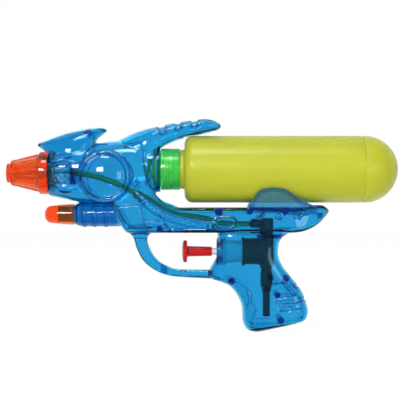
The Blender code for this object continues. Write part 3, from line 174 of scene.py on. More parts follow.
BEAD_X = COLLAR_END_X + FIT
SHOULDER_X = BEAD_X + NECK_BEAD_LENGTH
SHOULDER_RISE = 0.0008
SHOULDER_SLOPE = 0.0006
BOTTLE_WALL = 0.0012
BOTTLE_CORNER = 0.0062
BOTTLE_GROOVE_TO_DOME = 0.0019
BOTTLE_GROOVE_WIDTH = 0.0022
BOTTLE_GROOVE_DEPTH = 0.0007
BOTTLE_RING_SHARES = np.linspace(0.1, 0.9, 9)
THREAD_PITCH = 0.0040
THREAD_DEPTH = 0.0011
THREAD_ROOT_WIDTH = 0.0020
THREAD_CREST_WIDTH = 0.0012
THREAD_TURNS = 1.5
THREAD_LEAD_IN = 0.0014
THREAD_CLEARANCE = 0.0004
THREAD_SUNK = 0.0005

# Section of the bottle's groove: shares of its width and of its depth
BOTTLE_GROOVE = ((0.6, 0), (0.4, 0.1), (0.2, 0.6), (0, 1), (-0.2, 0.6), (-0.4, 0.1), (-0.6, 0))

# Trigger and pump
STEM_RADIUS = 0.0039
TRIGGER_DOME = 0.0016
TRIGGER_RIM = 0.0022
TRIGGER_FILLET = 0.0012
TRIGGER_FILLET_LENGTH = 0.0010
STEM_PLAIN_LENGTH = 0.0020
STEM_END_LENGTH = 0.0010
STEM_SOCKET_DEPTH = 0.0090
STEM_SOCKET_RADIUS = 0.0028
STEM_FLUTES = 4
STEM_FLUTE_DEPTH = 0.0004
STEM_FLUTE_SHARPNESS = 0.7
ROD_RADIUS = 0.0025
PISTON_LENGTH = 0.0042
PISTON_GROOVE_DEPTH = 0.0015
PISTON_GROOVE_WIDTH = 0.0020
BOSS_X = 0.0104
BOSS_RADIUS = 0.0100
BOSS_LENGTH = 0.0048
BOSS_END_X = BOSS_X + BOSS_LENGTH
BOSS_LIP = 0.0016
BOSS_LIP_GAP = 0.0007
BARREL_X, BARREL_END_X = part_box("pump_barrel")[0].x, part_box("pump_barrel")[1].x
BARREL_RADIUS = node_radius("pump_barrel")
BARREL_WALL = 0.0013
BARREL_BORE = BARREL_RADIUS - BARREL_WALL
BARREL_WAIST_DEPTH = 0.0004
BARREL_FRONT_LENGTH = 0.0100
BARREL_REAR_LENGTH = 0.0080
BARREL_SEAL_WIDTH = 0.0014
BARREL_SEAL_THICKNESS = 0.0016
SPRING_RADIUS = 0.0042
SPRING_WIRE_RADIUS = 0.00045
SPRING_TURNS = 7

# Valve block and the water path
BLOCK_RADIUS = 0.0100
BLOCK_FLANGE_RADIUS = 0.0108
BLOCK_FLANGE_LENGTH = 0.0015
BLOCK_LENGTH = 0.0166
BLOCK_SOCKET_DEPTH = 0.0069
BLOCK_FLOOR_X = BARREL_END_X + FIT
BLOCK_X = BLOCK_FLOOR_X - BLOCK_SOCKET_DEPTH
BLOCK_TEETH = 9
BLOCK_TOOTH = 0.0011
BLOCK_TOOTH_ROOT = 0.0030
BLOCK_TEETH_START = 0.0030
COLUMN_RADIUS = 0.0052
COLUMN_RISE = 0.0157
COLUMN_DROP = 0.0123
COLUMN_TOP_Z = PUMP_Z + COLUMN_RISE
COLUMN_BOTTOM_Z = PUMP_Z - COLUMN_DROP
CHAMBER_RADIUS = 0.0054
CHAMBER_TO_COLUMN = 0.0050
CHAMBER_END_X = COLUMN_X - CHAMBER_TO_COLUMN
PORT_RADIUS = 0.0013
CAGE_RADIUS = 0.0024
OUTLET_SEAT_DEPTH = 0.0071
OUTLET_SPIGOT_RADIUS = 0.0036
OUTLET_SPIGOT_LENGTH = 0.0030
INLET_SPIGOT_RADIUS = 0.0026
INLET_SPIGOT_LENGTH = 0.0040
INLET_SEAT_HEIGHT = 0.0074
INLET_BAND = 0.0008
INLET_FOOT = 0.0030
INLET_FOOT_SLOPE = 0.0006
INLET_HEAD = 0.0030
INLET_HEAD_SLOPE = 0.0004
DIP_WALL = 0.0009
ELBOW_RISE = 0.0047
ELBOW_CROWN = 0.0044
ELBOW_RADIUS = 0.0042
ELBOW_SOCKET_RADIUS = 0.0053
ELBOW_CAP = 0.0026
ELBOW_REACH = 0.0113
ELBOW_STUB_RADIUS = 0.0028
ELBOW_STUB_LENGTH = 0.0012
ELBOW_RINGS = 4
ELBOW_RING_HEIGHT = 0.0005
ELBOW_Z = COLUMN_TOP_Z + ELBOW_RISE
ELBOW_STUB_END_X = COLUMN_X - ELBOW_REACH
ELBOW_STUB_X = ELBOW_STUB_END_X - ELBOW_STUB_LENGTH
HOSE_RADIUS = 0.0022
HOSE_BORE = 0.0014
HOSE_ROOM = 0.0004
HOSE_STRAIGHT_PAST_BARB = 0.0010
BARB_RADIUS = 0.0011
BARB_LENGTH = 0.0078
HOSE_START_X = JET_FLANGE_END_X + FIT
HOSE_END_X = ELBOW_STUB_X - FIT

# Round boss on each side of the head: its ring, groove and dome
DOME_X = -0.0722
DOME_Z = 0.1158
DOME_FOOT_RADIUS = 0.0192
DOME_FOOT_Y = 0.0178
DOME_RING_RADIUS = 0.0184
DOME_RING_Y = 0.0206
DOME_RING_ROUND = 0.0006
DOME_GROOVE_RADIUS = 0.0160
DOME_GROOVE_Y = 0.0194
DOME_RADIUS = 0.0152
DOME_TOP_Y = 0.0232
DOME_SIDE_WALL = 0.0008
DOME_CURVE = 2.4
DOME_SHARES = np.linspace(0.98, 0.06, 16)

# Posts that locate the two half shells: X, Z and radius
POSTS = (
    (-0.0855, 0.1476, 0.0026),
    (-0.0314, 0.0765, 0.0024),
    (0.0120, 0.0895, 0.0030),
    (0.0347, 0.0896, 0.0022),
    (0.0609, 0.0896, 0.0022),
    (0.0870, 0.0868, 0.0022),
    (0.0615, 0.0399, 0.0026),
    (0.0215, 0.0385, 0.0026),
    (0.0577, 0.0095, 0.0026),
    (0.0552, 0.0282, 0.0022),
)
PEG_RADIUS = 0.0011
PEG_LENGTH = 0.0020
PEG_ROOT = 0.0010

# Posts that steady the inlet fitting: X from the column, Z from its foot, and radius
REST_POSTS = ((0.0022, 0.0110, 0.0026), (-0.0008, 0.0025, 0.0024))

# Ribs inside the shells: lowest X and Z, highest X and Z
HOSE_RIB = (-0.0975, 0.1102, -0.0938, 0.1219)
PUMP_SHELF_Z = PUMP_Z + BLOCK_RADIUS + FIT
SHELF_BEFORE_COLUMN = 0.0076
SHELF_PAST_COLUMN = 0.0122
SHELF_THICKNESS = 0.0028
PUMP_SHELF = (COLUMN_X - SHELF_BEFORE_COLUMN, PUMP_SHELF_Z,
              COLUMN_X + SHELF_PAST_COLUMN, PUMP_SHELF_Z + SHELF_THICKNESS)
GUARD_WEBS = ((-0.0312, 0.0425, -0.0262, 0.0505), (0.0045, 0.0380, 0.0072, 0.0480))

# Saddle under the bottle
SADDLE_GAP = 0.0034
SADDLE_Z = BOTTLE_Z - BOTTLE_RADIUS - SADDLE_GAP
TAIL_LIP_RISE = 0.0016
TAIL_LIP_Z = SADDLE_Z + TAIL_LIP_RISE
FRAME_FOOT_Z = 0.0738
FRAME_HALF = 0.0165

# Body limbs: upper or front point (X, Z), lower or rear point (X, Z), half width
HEAD = (
    (MUZZLE_X, NOZZLE_Z + MUZZLE_RADIUS, MUZZLE_X, NOZZLE_Z - MUZZLE_RADIUS, MUZZLE_RADIUS),
    (-0.1100, 0.1365, -0.1100, 0.1003, 0.0174),
    (-0.1020, 0.1388, -0.1020, 0.0988, 0.0180),
    (-0.0950, 0.1399, -0.0950, 0.0971, 0.0183),
    (-0.0820, 0.1406, -0.0820, 0.0960, 0.0185),
    (-0.0634, 0.1425, -0.0634, 0.0960, 0.0180),
    (-0.0544, 0.1430, -0.0544, 0.0965, 0.0176),
    (-0.0454, 0.1410, -0.0454, 0.0980, 0.0172),
    (-0.0394, 0.1365, -0.0394, 0.0995, 0.0168),
)
FIN = (
    (-0.1229, 0.1402, -0.1229, 0.1385, 0.0015),
    (-0.1204, 0.1416, -0.1204, 0.1364, 0.0036),
    (-0.1144, 0.1442, -0.1144, 0.1300, 0.0085),
    (-0.1069, 0.1470, -0.1069, 0.1180, 0.0130),
    (-0.0994, 0.1493, -0.0979, 0.1160, 0.0145),
    (-0.0919, 0.1509, -0.0889, 0.1200, 0.0136),
    (-0.0844, 0.1520, -0.0836, 0.1330, 0.0104),
    (-0.0791, 0.1523, -0.0791, 0.1433, 0.0064),
    (-0.0746, 0.1522, -0.0750, 0.1470, 0.0042),
    (-0.0722, 0.1512, -0.0722, 0.1495, 0.0018),
)
HORN = (
    (-0.0660, 0.1412, -0.0660, 0.1290, 0.0050),
    (-0.0634, 0.1425, -0.0620, 0.1280, 0.0074),
    (-0.0581, 0.1451, -0.0540, 0.1260, 0.0108),
    (-0.0506, 0.1485, -0.0450, 0.1220, 0.0132),
    (-0.0431, 0.1510, -0.0394, 0.1237, 0.0136),
    (-0.0356, 0.1528, -0.0364, 0.1309, 0.0130),
    (-0.0281, 0.1545, -0.0319, 0.1365, 0.0122),
    (-0.0206, 0.1560, -0.0244, 0.1406, 0.0116),
    (-0.0131, 0.1573, -0.0169, 0.1435, 0.0110),
    (-0.0056, 0.1583, -0.0079, 0.1458, 0.0104),
    (0.0019, 0.1590, 0.0019, 0.1481, 0.0094),
    (0.0079, 0.1579, 0.0086, 0.1498, 0.0078),
    (0.0120, 0.1560, 0.0120, 0.1509, 0.0054),
    (0.0139, 0.1541, 0.0139, 0.1528, 0.0020),
)
FRAME = (
    (-0.0671, 0.1210, -0.0671, 0.0945, 0.0155),
    (-0.0634, 0.1170, -0.0634, 0.0866, 0.0160),
    (-0.0589, 0.1150, -0.0589, 0.0773, 0.0163),
    (-0.0548, 0.1130, -0.0548, FRAME_FOOT_Z, FRAME_HALF),
    (-0.0394, 0.1118, -0.0394, FRAME_FOOT_Z, FRAME_HALF),
    (-0.0364, 0.1058, -0.0349, FRAME_FOOT_Z, FRAME_HALF),
    (-0.0326, 0.1005, -0.0304, FRAME_FOOT_Z, FRAME_HALF),
    (-0.0281, 0.0971, -0.0259, FRAME_FOOT_Z, FRAME_HALF),
    (-0.0229, 0.0953, -0.0214, FRAME_FOOT_Z, FRAME_HALF),
    (-0.0169, SADDLE_Z, -0.0161, FRAME_FOOT_Z, FRAME_HALF),
    (0.0356, SADDLE_Z, 0.0356, FRAME_FOOT_Z, FRAME_HALF),
    (0.0544, SADDLE_Z, 0.0544, FRAME_FOOT_Z, 0.0160),
    (0.0656, SADDLE_Z, 0.0640, FRAME_FOOT_Z, 0.0150),
    (0.0731, SADDLE_Z, 0.0724, 0.0745, 0.0136),
    (0.0821, TAIL_LIP_Z, 0.0799, 0.0769, 0.0112),
    (0.0881, TAIL_LIP_Z, 0.0866, 0.0810, 0.0082),
    (0.0923, 0.0926, 0.0919, 0.0863, 0.0050),
    (0.0947, 0.0908, 0.0945, 0.0893, 0.0018),
)
GRIP = (
    (0.0116, 0.0787, 0.0690, 0.0787, 0.0130),
    (0.0114, 0.0737, 0.0650, 0.0737, 0.0140),
    (0.0112, 0.0712, 0.0605, 0.0712, 0.0145),
    (0.0111, 0.0683, 0.0581, 0.0683, 0.0145),
    (0.0116, 0.0638, 0.0566, 0.0638, 0.0145),
    (0.0114, 0.0593, 0.0563, 0.0593, 0.0145),
    (0.0098, 0.0548, 0.0570, 0.0551, 0.0145),
    (0.0075, 0.0510, 0.0585, 0.0514, 0.0144),
    (0.0055, 0.0469, 0.0608, 0.0476, 0.0143),
    (0.0049, 0.0435, 0.0634, 0.0443, 0.0142),
    (0.0064, 0.0398, 0.0664, 0.0405, 0.0141),
    (0.0124, 0.0375, 0.0683, 0.0383, 0.0140),
    (0.0184, 0.0353, 0.0701, 0.0360, 0.0140),
    (0.0221, 0.0323, 0.0720, 0.0334, 0.0140),
    (0.0255, 0.0278, 0.0743, 0.0300, 0.0141),
    (0.0279, 0.0233, 0.0758, 0.0259, 0.0142),
    (0.0294, 0.0180, 0.0773, 0.0218, 0.0144),
    (0.0299, 0.0083, 0.0786, 0.0153, 0.0145),
    (0.0315, 0.0041, 0.0773, 0.0101, 0.0140),
    (0.0345, 0.0011, 0.0746, 0.0080, 0.0126),
    (0.0386, 0.0000, 0.0716, 0.0071, 0.0104),
)
GUARD = (
    (-0.0551, 0.0743, -0.0379, 0.0743, 0.0080),
    (-0.0512, 0.0690, -0.0413, 0.0690, 0.0064),
    (-0.0499, 0.0638, -0.0400, 0.0638, 0.0060),
    (-0.0476, 0.0585, -0.0377, 0.0589, 0.0060),
    (-0.0446, 0.0533, -0.0344, 0.0544, 0.0060),
    (-0.0401, 0.0488, -0.0308, 0.0514, 0.0060),
    (-0.0349, 0.0454, -0.0266, 0.0491, 0.0060),
    (-0.0289, 0.0428, -0.0221, 0.0473, 0.0060),
    (-0.0221, 0.0413, -0.0169, 0.0465, 0.0060),
    (-0.0131, 0.0405, -0.0101, 0.0463, 0.0060),
    (0.0079, 0.0395, 0.0086, 0.0461, 0.0060),
)

# Limbs: name, stations, wall and how square their sections are
LIMBS = (
    ("head", HEAD, WALL, 2.3),
    ("fin", FIN, WALL, 2.0),
    ("horn", HORN, WALL, 2.5),
    ("frame", FRAME, WALL, 9.0),
    ("grip", GRIP, WALL, 4.0),
    ("guard", GUARD, GUARD_WALL, 4.5),
)
ROUND_SECTION = 2.0

# Rim of the cheeks that hold the bottle: X and the rim's height
CHEEK_WALL = 0.0020
CHEEK_ROOT = 0.0050
CHEEK_RIM = (
    (0.0340, 0.0935),
    (0.0362, 0.0973),
    (0.0385, 0.1015),
    (0.0410, 0.1048),
    (0.0445, 0.1065),
    (0.0500, 0.1071),
    (0.0545, 0.1071),
    (0.0609, 0.1059),
    (0.0668, 0.1022),
    (0.0735, 0.0982),
    (0.0800, 0.0948),
    (0.0840, 0.0935),
)

# Middle of the hose between its two straight ends: X and Z
HOSE_ROUTE = (
    (-0.0970, 0.1186),
    (-0.0905, 0.1180),
    (-0.0844, 0.1170),
    (-0.0769, 0.1151),
    (-0.0694, 0.1125),
    (-0.0619, 0.1095),
    (-0.0544, 0.1058),
    (-0.0469, 0.1022),
    (-0.0394, 0.0986),
    (-0.0319, 0.0946),
    (-0.0244, 0.0908),
    (-0.0169, 0.0883),
    (-0.0094, 0.0867),
    (-0.0019, 0.0853),
    (0.0050, 0.0836),
    (0.0105, 0.0815),
)

# Moulded lines on both sides: points (X, Z), half width and height, sunk where it is below 0
RELIEF_LINES = (
    (((-0.1089, 0.1225), (-0.1060, 0.1246), (-0.1023, 0.1252), (-0.0972, 0.1237)), 0.0010, 0.0009),
    (((-0.1089, 0.1225), (-0.1045, 0.1205), (-0.1001, 0.1216), (-0.0972, 0.1237)), 0.0010, 0.0009),
    (((-0.1077, 0.1297), (-0.1048, 0.1315), (-0.1004, 0.1319)), 0.0011, -0.0008),
    (((-0.1060, 0.1115), (-0.1031, 0.1096), (-0.0972, 0.1093)), 0.0012, -0.0009),
    (((-0.1067, 0.1071), (-0.1031, 0.1049), (-0.0965, 0.1049)), 0.0014, -0.0010),
    (((-0.0592, 0.1403), (-0.0525, 0.1399), (-0.0459, 0.1407)), 0.0010, -0.0008),
    (((-0.0459, 0.1418), (-0.0445, 0.1371), (-0.0437, 0.1275), (-0.0415, 0.1151), (-0.0379, 0.1078),
      (-0.0327, 0.1004)), 0.0011, -0.0009),
    (((-0.0635, 0.0939), (-0.0466, 0.0939), (-0.0452, 0.0895), (-0.0422, 0.0835), (-0.0312, 0.0832)),
     0.0009, -0.0006),
    (((-0.0635, 0.0931), (-0.0596, 0.0851), (-0.0557, 0.0774)), 0.0011, 0.0009),
    (((-0.0545, 0.0798), (-0.0415, 0.0801)), 0.0008, -0.0005),
    (((-0.0525, 0.0785), (-0.0415, 0.0787), (-0.0298, 0.0787)), 0.0008, -0.0005),
    (((-0.0327, 0.0880), (-0.0283, 0.0821), (-0.0224, 0.0748)), 0.0010, -0.0008),
    (((-0.0285, 0.0776), (-0.0100, 0.0771), (0.0090, 0.0769)), 0.0009, -0.0006),
    (((0.0420, 0.0847), (0.0449, 0.0884)), 0.0010, 0.0014),
    (((0.0567, 0.0847), (0.0596, 0.0884)), 0.0010, 0.0014),
    (((0.0713, 0.0850), (0.0742, 0.0887)), 0.0010, 0.0014),
    (((-0.0515, 0.0697), (-0.0405, 0.0697)), 0.0009, -0.0006),
    (((-0.0290, 0.1392), (-0.0216, 0.1428), (-0.0143, 0.1458), (-0.0062, 0.1479), (0.0023, 0.1498),
      (0.0089, 0.1514)), 0.0009, -0.0005),
    (((0.0165, 0.0401), (0.0253, 0.0379), (0.0334, 0.0328), (0.0363, 0.0269), (0.0356, 0.0217)),
     0.0010, -0.0008),
    (((0.0393, 0.0188), (0.0378, 0.0129), (0.0349, 0.0071)), 0.0010, -0.0008),
    (((0.0319, 0.0321), (0.0341, 0.0247), (0.0319, 0.0166)), 0.0009, -0.0005),
    (((0.0340, 0.0078), (0.0420, 0.0076), (0.0510, 0.0076)), 0.0010, -0.0006),
    (((0.0511, 0.0369), (0.0609, 0.0369)), 0.0012, -0.0010),
    (((0.0609, 0.0363), (0.0640, 0.0325), (0.0672, 0.0287)), 0.0011, 0.0009),
    (((0.0540, 0.0258), (0.0628, 0.0270), (0.0705, 0.0284)), 0.0013, -0.0010),
    (((0.0725, 0.0225), (0.0574, 0.0214), (0.0568, 0.0191), (0.0585, 0.0169), (0.0638, 0.0166)),
     0.0010, -0.0008),
    (((0.0655, 0.0177), (0.0746, 0.0181)), 0.0009, -0.0007),
)

# Moulded outlines of slots on both sides: first and last point (X, Z) of the middle line, and half height
SLOTS = (
    ((-0.1060, 0.1144), (-0.0990, 0.1144), 0.0017),
    ((0.0135, 0.0814), (0.0201, 0.0814), 0.0042),
)
SLOT_RIM = 0.0010
SLOT_RIM_HEIGHT = 0.0009

# Chain of moulded beads along the frame
CHAIN = (
    (-0.0480, 0.1017),
    (-0.0429, 0.0970),
    (-0.0382, 0.0928),
    (-0.0335, 0.0895),
    (-0.0288, 0.0870),
    (-0.0242, 0.0851),
    (-0.0195, 0.0834),
    (-0.0148, 0.0823),
    (-0.0101, 0.0814),
    (-0.0054, 0.0806),
    (0.0015, 0.0804),
    (0.0086, 0.0802),
)
CHAIN_HALF = 0.0023
CHAIN_WAVE = 0.0004
CHAIN_HEIGHT = 0.0013
CHAIN_LEVEL = 0.65
CHAIN_SWELL = 0.35
BEAD_PITCH = 0.0039
CHAIN_KNOBS = ((-0.0499, 0.1106), (-0.0480, 0.1017))
KNOB_RADIUS = 0.0024
KNOB_HEIGHT = 0.0014

# Notches that run off the outline: from (X, Z), to (X, Z), half width and depth
NOTCHES = (
    ((-0.0307, 0.1515), (-0.0307, 0.1700), 0.0030, 0.0010),
    ((-0.0185, 0.1537), (-0.0185, 0.1700), 0.0028, 0.0010),
    ((-0.0063, 0.1559), (-0.0063, 0.1700), 0.0030, 0.0010),
    ((0.0690, 0.0352), (0.0760, 0.0330), 0.0009, 0.0007),
    ((0.0735, 0.0256), (0.0820, 0.0230), 0.0009, 0.0007),
)
NOTCH_EDGE = 0.0008

# Lower edge of the plate that the fin and the muzzle share, closed round the outside of the fin
PLATE = (
    (-0.1300, 0.1252),
    (-0.1064, 0.1259),
    (-0.1013, 0.1266),
    (-0.0961, 0.1248),
    (-0.0924, 0.1244),
    (-0.0887, 0.1266),
    (-0.0858, 0.1318),
    (-0.0829, 0.1369),
    (-0.0807, 0.1398),
    (-0.0777, 0.1432),
    (-0.0700, 0.1482),
    (-0.0600, 0.1680),
    (-0.1300, 0.1680),
)
PLATE_RISE = 0.0010

# Curved edge of the head's side before the collar, closed behind the body
RECESS = (
    (-0.0290, 0.1369),
    (-0.0313, 0.1355),
    (-0.0357, 0.1304),
    (-0.0386, 0.1230),
    (-0.0394, 0.1150),
    (-0.0372, 0.1083),
    (-0.0335, 0.1025),
    (-0.0290, 0.1012),
)
RECESS_RISE = -0.0011
REGION_EDGE = 0.0012

# Painted shade: how far it reaches to each side of a moulded edge, and how deep it is on the lower barrel and
# the cheek's rim; a deeper blue on the dome and the spigot
LINE_REACH = 0.0007
RING_REACH = 0.0010
DOME_TINT = 0.14
LOWER_PAINTED_SHADE = 0.62
SPIGOT_TINT = 1.0
CHEEK_RIM_PAINTED_SHADE = 0.4
CHEEK_RIM_WIDTH = 0.0030
LOWER_SHADE_END_X = -0.0640

# How far a surface faces sideways where relief or painted edge shade begins, and where it is full
RELIEF_FACING = (0.35, 0.7)
LINE_FACING = (0.3, 0.6)
NOTCH_FACING = (-0.2, 0.1)
RING_FACING = (0.1, 0.3)

# Power that rounds the top of a moulded line
BUMP_POWER = 1.5

# Mesh fineness
OUTER_VOXEL = 0.00066
INNER_VOXEL = 0.0010
SMOOTH_ROUNDS = 10
SMOOTH_PAIR = (0.5, -0.52)
LINE_STEPS = 6
HOSE_STEPS = 5
LIMB_SIDES = 72
STATION_SPACING = 0.0012
ROUND_SIDES = 96
SMALL_SIDES = 24
WIRE_SIDES = 12
HOSE_SIDES = 32
BALL_SIDES = 48
BALL_STEPS = 28
BALL_POLE_ANGLE = 6
ARM_SIDES = 64
BOTTLE_SIDES = 128
NOZZLE_SIDES = 144
BOTTLE_ROOM_SIDES = 192
CONE_SHARES = np.linspace(0, 1, 16)
NOSE_ANGLES = range(10, 91, 8)
THREAD_STEPS = 48
SPRING_STEPS = 32
WELD = 0.000002
SHARP_ANGLE = math.radians(35)

# What the finishes share: drift of colour and gloss, fine grain and refraction
CLOUD_SCALE = 45
CLOUD_DETAIL = 3
GRAIN_DETAIL = 4
COLOUR_DRIFT = (0.93, 1.06)
PLASTIC_IOR = 1.45

# Camera and surroundings
CAMERA_LENS = 90
CAMERA_DISTANCE = 0.75
CAMERA_AIM = Vector((-0.0019, 0, 0.09825))
WORLD_LIGHT = 0.40
FRONT_MIRRORED = 0.15
MIRROR_FADE = (-0.2, 0.5)
FLOOR_HALF = 2.5
FLOOR_COLOUR = (0.9, 0.9, 0.9, 1)
FLOOR_ROUGHNESS = 0.9
FLOOR_GLOW = 1.06
FLOOR_GLOW_SHARE = 0.9
FLOOR_BOUNCE_SHARE = 0.45
LIGHT_BOUNCES = 28

# Lamps: name, azimuth from the camera's side and elevation in degrees, width, height and power
LAMP_DISTANCE = 1.1
LAMPS = (
    ("key", -18, 17, 0.30, 0.20, 5.6),
    ("window", 36, 4, 0.30, 0.42, 1.2),
    ("top", -10, 62, 0.40, 0.25, 4.0),
)


def placed(name, data):
    """A new object in the scene."""
    thing = bpy.data.objects.new(name, data)
    bpy.context.scene.collection.objects.link(thing)
    return thing


def add_mesh(name, points, faces):
    """A closed mesh object with its faces turned out."""
    mesh = bpy.data.meshes.new(name)
    mesh.from_pydata([tuple(point) for point in points], [], faces)
    shape = bmesh.new()
    shape.from_mesh(mesh)
    bmesh.ops.recalc_face_normals(shape, faces=shape.faces)
    shape.to_mesh(mesh)
    shape.free()
    return placed(name, mesh)


def evaluated_mesh(piece):
    """The piece's mesh with its modifiers, which are then cleared."""
    graph = bpy.context.evaluated_depsgraph_get()
    mesh = bpy.data.meshes.new_from_object(piece.evaluated_get(graph))
    piece.modifiers.clear()
    return mesh


def combine(target, tool, operation):
    """Join, cut or intersect the target with a tool, which is used up."""
    modifier = target.modifiers.new(operation, "BOOLEAN")
    modifier.operation = operation
    modifier.solver = "MANIFOLD"
    modifier.object = tool
    mesh = evaluated_mesh(target)
    bpy.data.objects.remove(tool)
    shape = bmesh.new()
    shape.from_mesh(mesh)
    bmesh.ops.remove_doubles(shape, verts=shape.verts, dist=WELD)
    bmesh.ops.dissolve_degenerate(shape, edges=shape.edges, dist=WELD)
    shape.to_mesh(mesh)
    shape.free()
    target.data = mesh


def joined(name, pieces):
    """Pieces as one mesh, without cutting them where they meet."""
    points, faces = [], []
    for piece in pieces:
        first = len(points)
        points += [vertex.co.copy() for vertex in piece.data.vertices]
        faces += [[first + index for index in face.vertices] for face in piece.data.polygons]
        bpy.data.objects.remove(piece)
    return add_mesh(name, points, faces)


def united(name, pieces):
    """Pieces that run into each other, as one solid."""
    first, *others = pieces
    first.name = name
    for other in others:
        combine(first, other, "UNION")
    return first


def lofted(name, sections, endless=False):
    """A closed skin over sections of equal point counts, with flat ends, or run back to the first section."""
    count = len(sections[0])
    points = [point for section in sections for point in section]
    faces = []
    for start in range(0, len(points) - (0 if endless else count), count):
        following = (start + count) % len(points)
        for index in range(count):
            after = (index + 1) % count
            faces.append((start + index, start + after, following + after, following + index))
    if not endless:
        faces.append(tuple(range(count)))
        faces.append(tuple(range(len(points) - count, len(points))))
    return add_mesh(name, points, faces)


def turned(name, profile, axis, centre, sides=ROUND_SIDES):
    """A profile of (along, radius) points turned about an axis through the centre.

    A profile that starts and ends on the axis makes a solid, any other profile closes on itself.
    """
    points, rows = [], []
    for along, radius in profile:
        row = []
        for index in range(1 if radius == 0 else sides):
            angle = math.tau * index / sides
            across = (radius * math.cos(angle), radius * math.sin(angle))
            row.append(len(points))
            place = {
                "X": (along, *across),
                "Y": (across[1], along, across[0]),
                "Z": (*across, along),
            }[axis]
            points.append(Vector(place) + Vector(centre))
        rows.append(row)
    if len(rows[0]) > 1:
        rows.append(rows[0])
    faces = []
    for row, following in zip(rows, rows[1:]):
        for index in range(sides):
            after = (index + 1) % sides
            corners = (
                row[index % len(row)],
                row[after % len(row)],
                following[after % len(following)],
                following[index % len(following)],
            )
            faces.append(tuple(dict.fromkeys(corners)))
    return add_mesh(name, points, faces)


def stairs(radius, *steps):
    """A profile that starts at a radius and takes a new one at each step (along, radius)."""
    profile = []
    for along, following in steps:
        profile += [(along, radius), (along, following)]
        radius = following
    return profile


def softened(profile, size):
    """The profile with each corner off the axis rounded over a size, or less where its sides are short."""
    knots = [Vector(point) for point in profile]
    soft = []
    for index, corner in enumerate(knots):
        before = knots[index - 1] - corner
        after = knots[(index + 1) % len(knots)] - corner
        if corner.y == 0 or before.angle(after) > NEARLY_STRAIGHT:
            soft.append(corner)
            continue
        reach = min(size, before.length * CORNER_SHARE, after.length * CORNER_SHARE)
        start = corner + before.normalized() * reach
        end = corner + after.normalized() * reach
        for step in range(CORNER_STEPS + 1):
            t = step / CORNER_STEPS
            soft.append(start * (1 - t) ** 2 + corner * 2 * t * (1 - t) + end * t**2)
    return [(point.x, max(point.y, 0)) for point in soft]


def rod(name, axis, start, end, radius, centre, sides=ROUND_SIDES, edge=0):
    profile = stairs(0, (start, radius), (end, 0))
    return turned(name, softened(profile, edge) if edge else profile, axis, centre, sides)


def ring(name, axis, start, end, inner, outer, centre, edge):
    profile = stairs(inner, (start, outer), (end, inner))
    return turned(name, softened(profile, edge), axis, centre)


def block(name, low, high):
    corners = [(x, y, z) for x in (low[0], high[0]) for y in (low[1], high[1]) for z in (low[2], high[2])]
    faces = ((0, 1, 3, 2), (4, 6, 7, 5), (0, 4, 5, 1), (2, 3, 7, 6), (0, 2, 6, 4), (1, 5, 7, 3))
    return add_mesh(name, corners, faces)


def arc(centre, radius, start, end, steps):
    """Points of an arc in a profile, with angles in degrees from the axis."""
    angles = [math.radians(start + (end - start) * step / steps) for step in range(steps + 1)]
    return [(centre[0] + radius * math.cos(a), centre[1] + radius * math.sin(a)) for a in angles]


def oval_nose(tip, length, radius):
    """Points of a rounded nose in a profile, from its tip on the axis to its full radius."""
    end = tip + length
    turns = [math.radians(angle) for angle in NOSE_ANGLES]
    return [(tip, 0)] + [(end - length * math.cos(turn), radius * math.sin(turn)) for turn in turns]


def mesh_points(mesh):
    points = np.empty(len(mesh.vertices) * 3)
    mesh.vertices.foreach_get("co", points)
    return points.reshape(-1, 3)


def set_mesh_points(mesh, points):
    mesh.vertices.foreach_set("co", points.ravel())
    mesh.update()


def smooth_through(knots, steps):
    """Points of a smooth curve through the knots, with the ends kept."""
    knots = np.array(knots, float)
    ends = np.concatenate(([2 * knots[0] - knots[1]], knots, [2 * knots[-1] - knots[-2]]))
    points = []
    for before, start, end, after in zip(ends, ends[1:], ends[2:], ends[3:]):
        for step in range(steps):
            t = step / steps
            curve = 2 * start + (end - before) * t
            curve = curve + (2 * before - 5 * start + 4 * end - after) * t**2
            points.append((curve + (3 * start - before - 3 * end + after) * t**3) / 2)
    return np.array(points + [knots[-1]])


def smooth_step(value, low, high):
    t = np.clip((value - low) / (high - low), 0, 1)
    return t * t * (3 - 2 * t)


def dense_stations(stations):
    """Stations close together along a smooth curve that doesn't swing past the given ones."""
    rows = np.array(stations, float)
    middles = (rows[:, 0:2] + rows[:, 2:4]) / 2
    places = np.concatenate(([0.0], np.cumsum(np.linalg.norm(np.diff(middles, axis=0), axis=1))))
    steps = np.diff(places)[:, None]
    slopes = np.diff(rows, axis=0) / steps
    product = slopes[:-1] * slopes[1:]
    total = slopes[:-1] + slopes[1:]
    tangents = np.concatenate((slopes[:1], np.zeros_like(total), slopes[-1:]))
    rising = product > 0
    tangents[1:-1][rising] = 2 * product[rising] / total[rising]
    wanted = np.linspace(0, places[-1], round(places[-1] / STATION_SPACING) + 2)
    index = np.clip(np.searchsorted(places, wanted, side="right") - 1, 0, len(steps) - 1)
    step = steps[index]
    t = (wanted - places[index])[:, None] / step
    start, end = rows[index], rows[index + 1]
    leave, arrive = tangents[index] * step, tangents[index + 1] * step
    return (
        start * (2 * t**3 - 3 * t**2 + 1)
        + leave * (t**3 - 2 * t**2 + t)
        + end * (3 * t**2 - 2 * t**3)
        + arrive * (t**3 - t**2)
    )


def limb(name, stations, power):
    """A skin of rounded sections between outline points, with corners squarer at a higher power."""
    angles = np.arange(LIMB_SIDES) * math.tau / LIMB_SIDES
    along = np.sign(np.cos(angles)) * np.abs(np.cos(angles)) ** (2 / power)
    across = np.sign(np.sin(angles)) * np.abs(np.sin(angles)) ** (2 / power)
    sections = []
    for first_x, first_z, last_x, last_z, half in stations:
        x = (first_x + last_x) / 2 + (first_x - last_x) / 2 * along
        z = (first_z + last_z) / 2 + (first_z - last_z) / 2 * along
        sections.append(np.stack((x, half * across, z), axis=1))
    return lofted(name, sections)


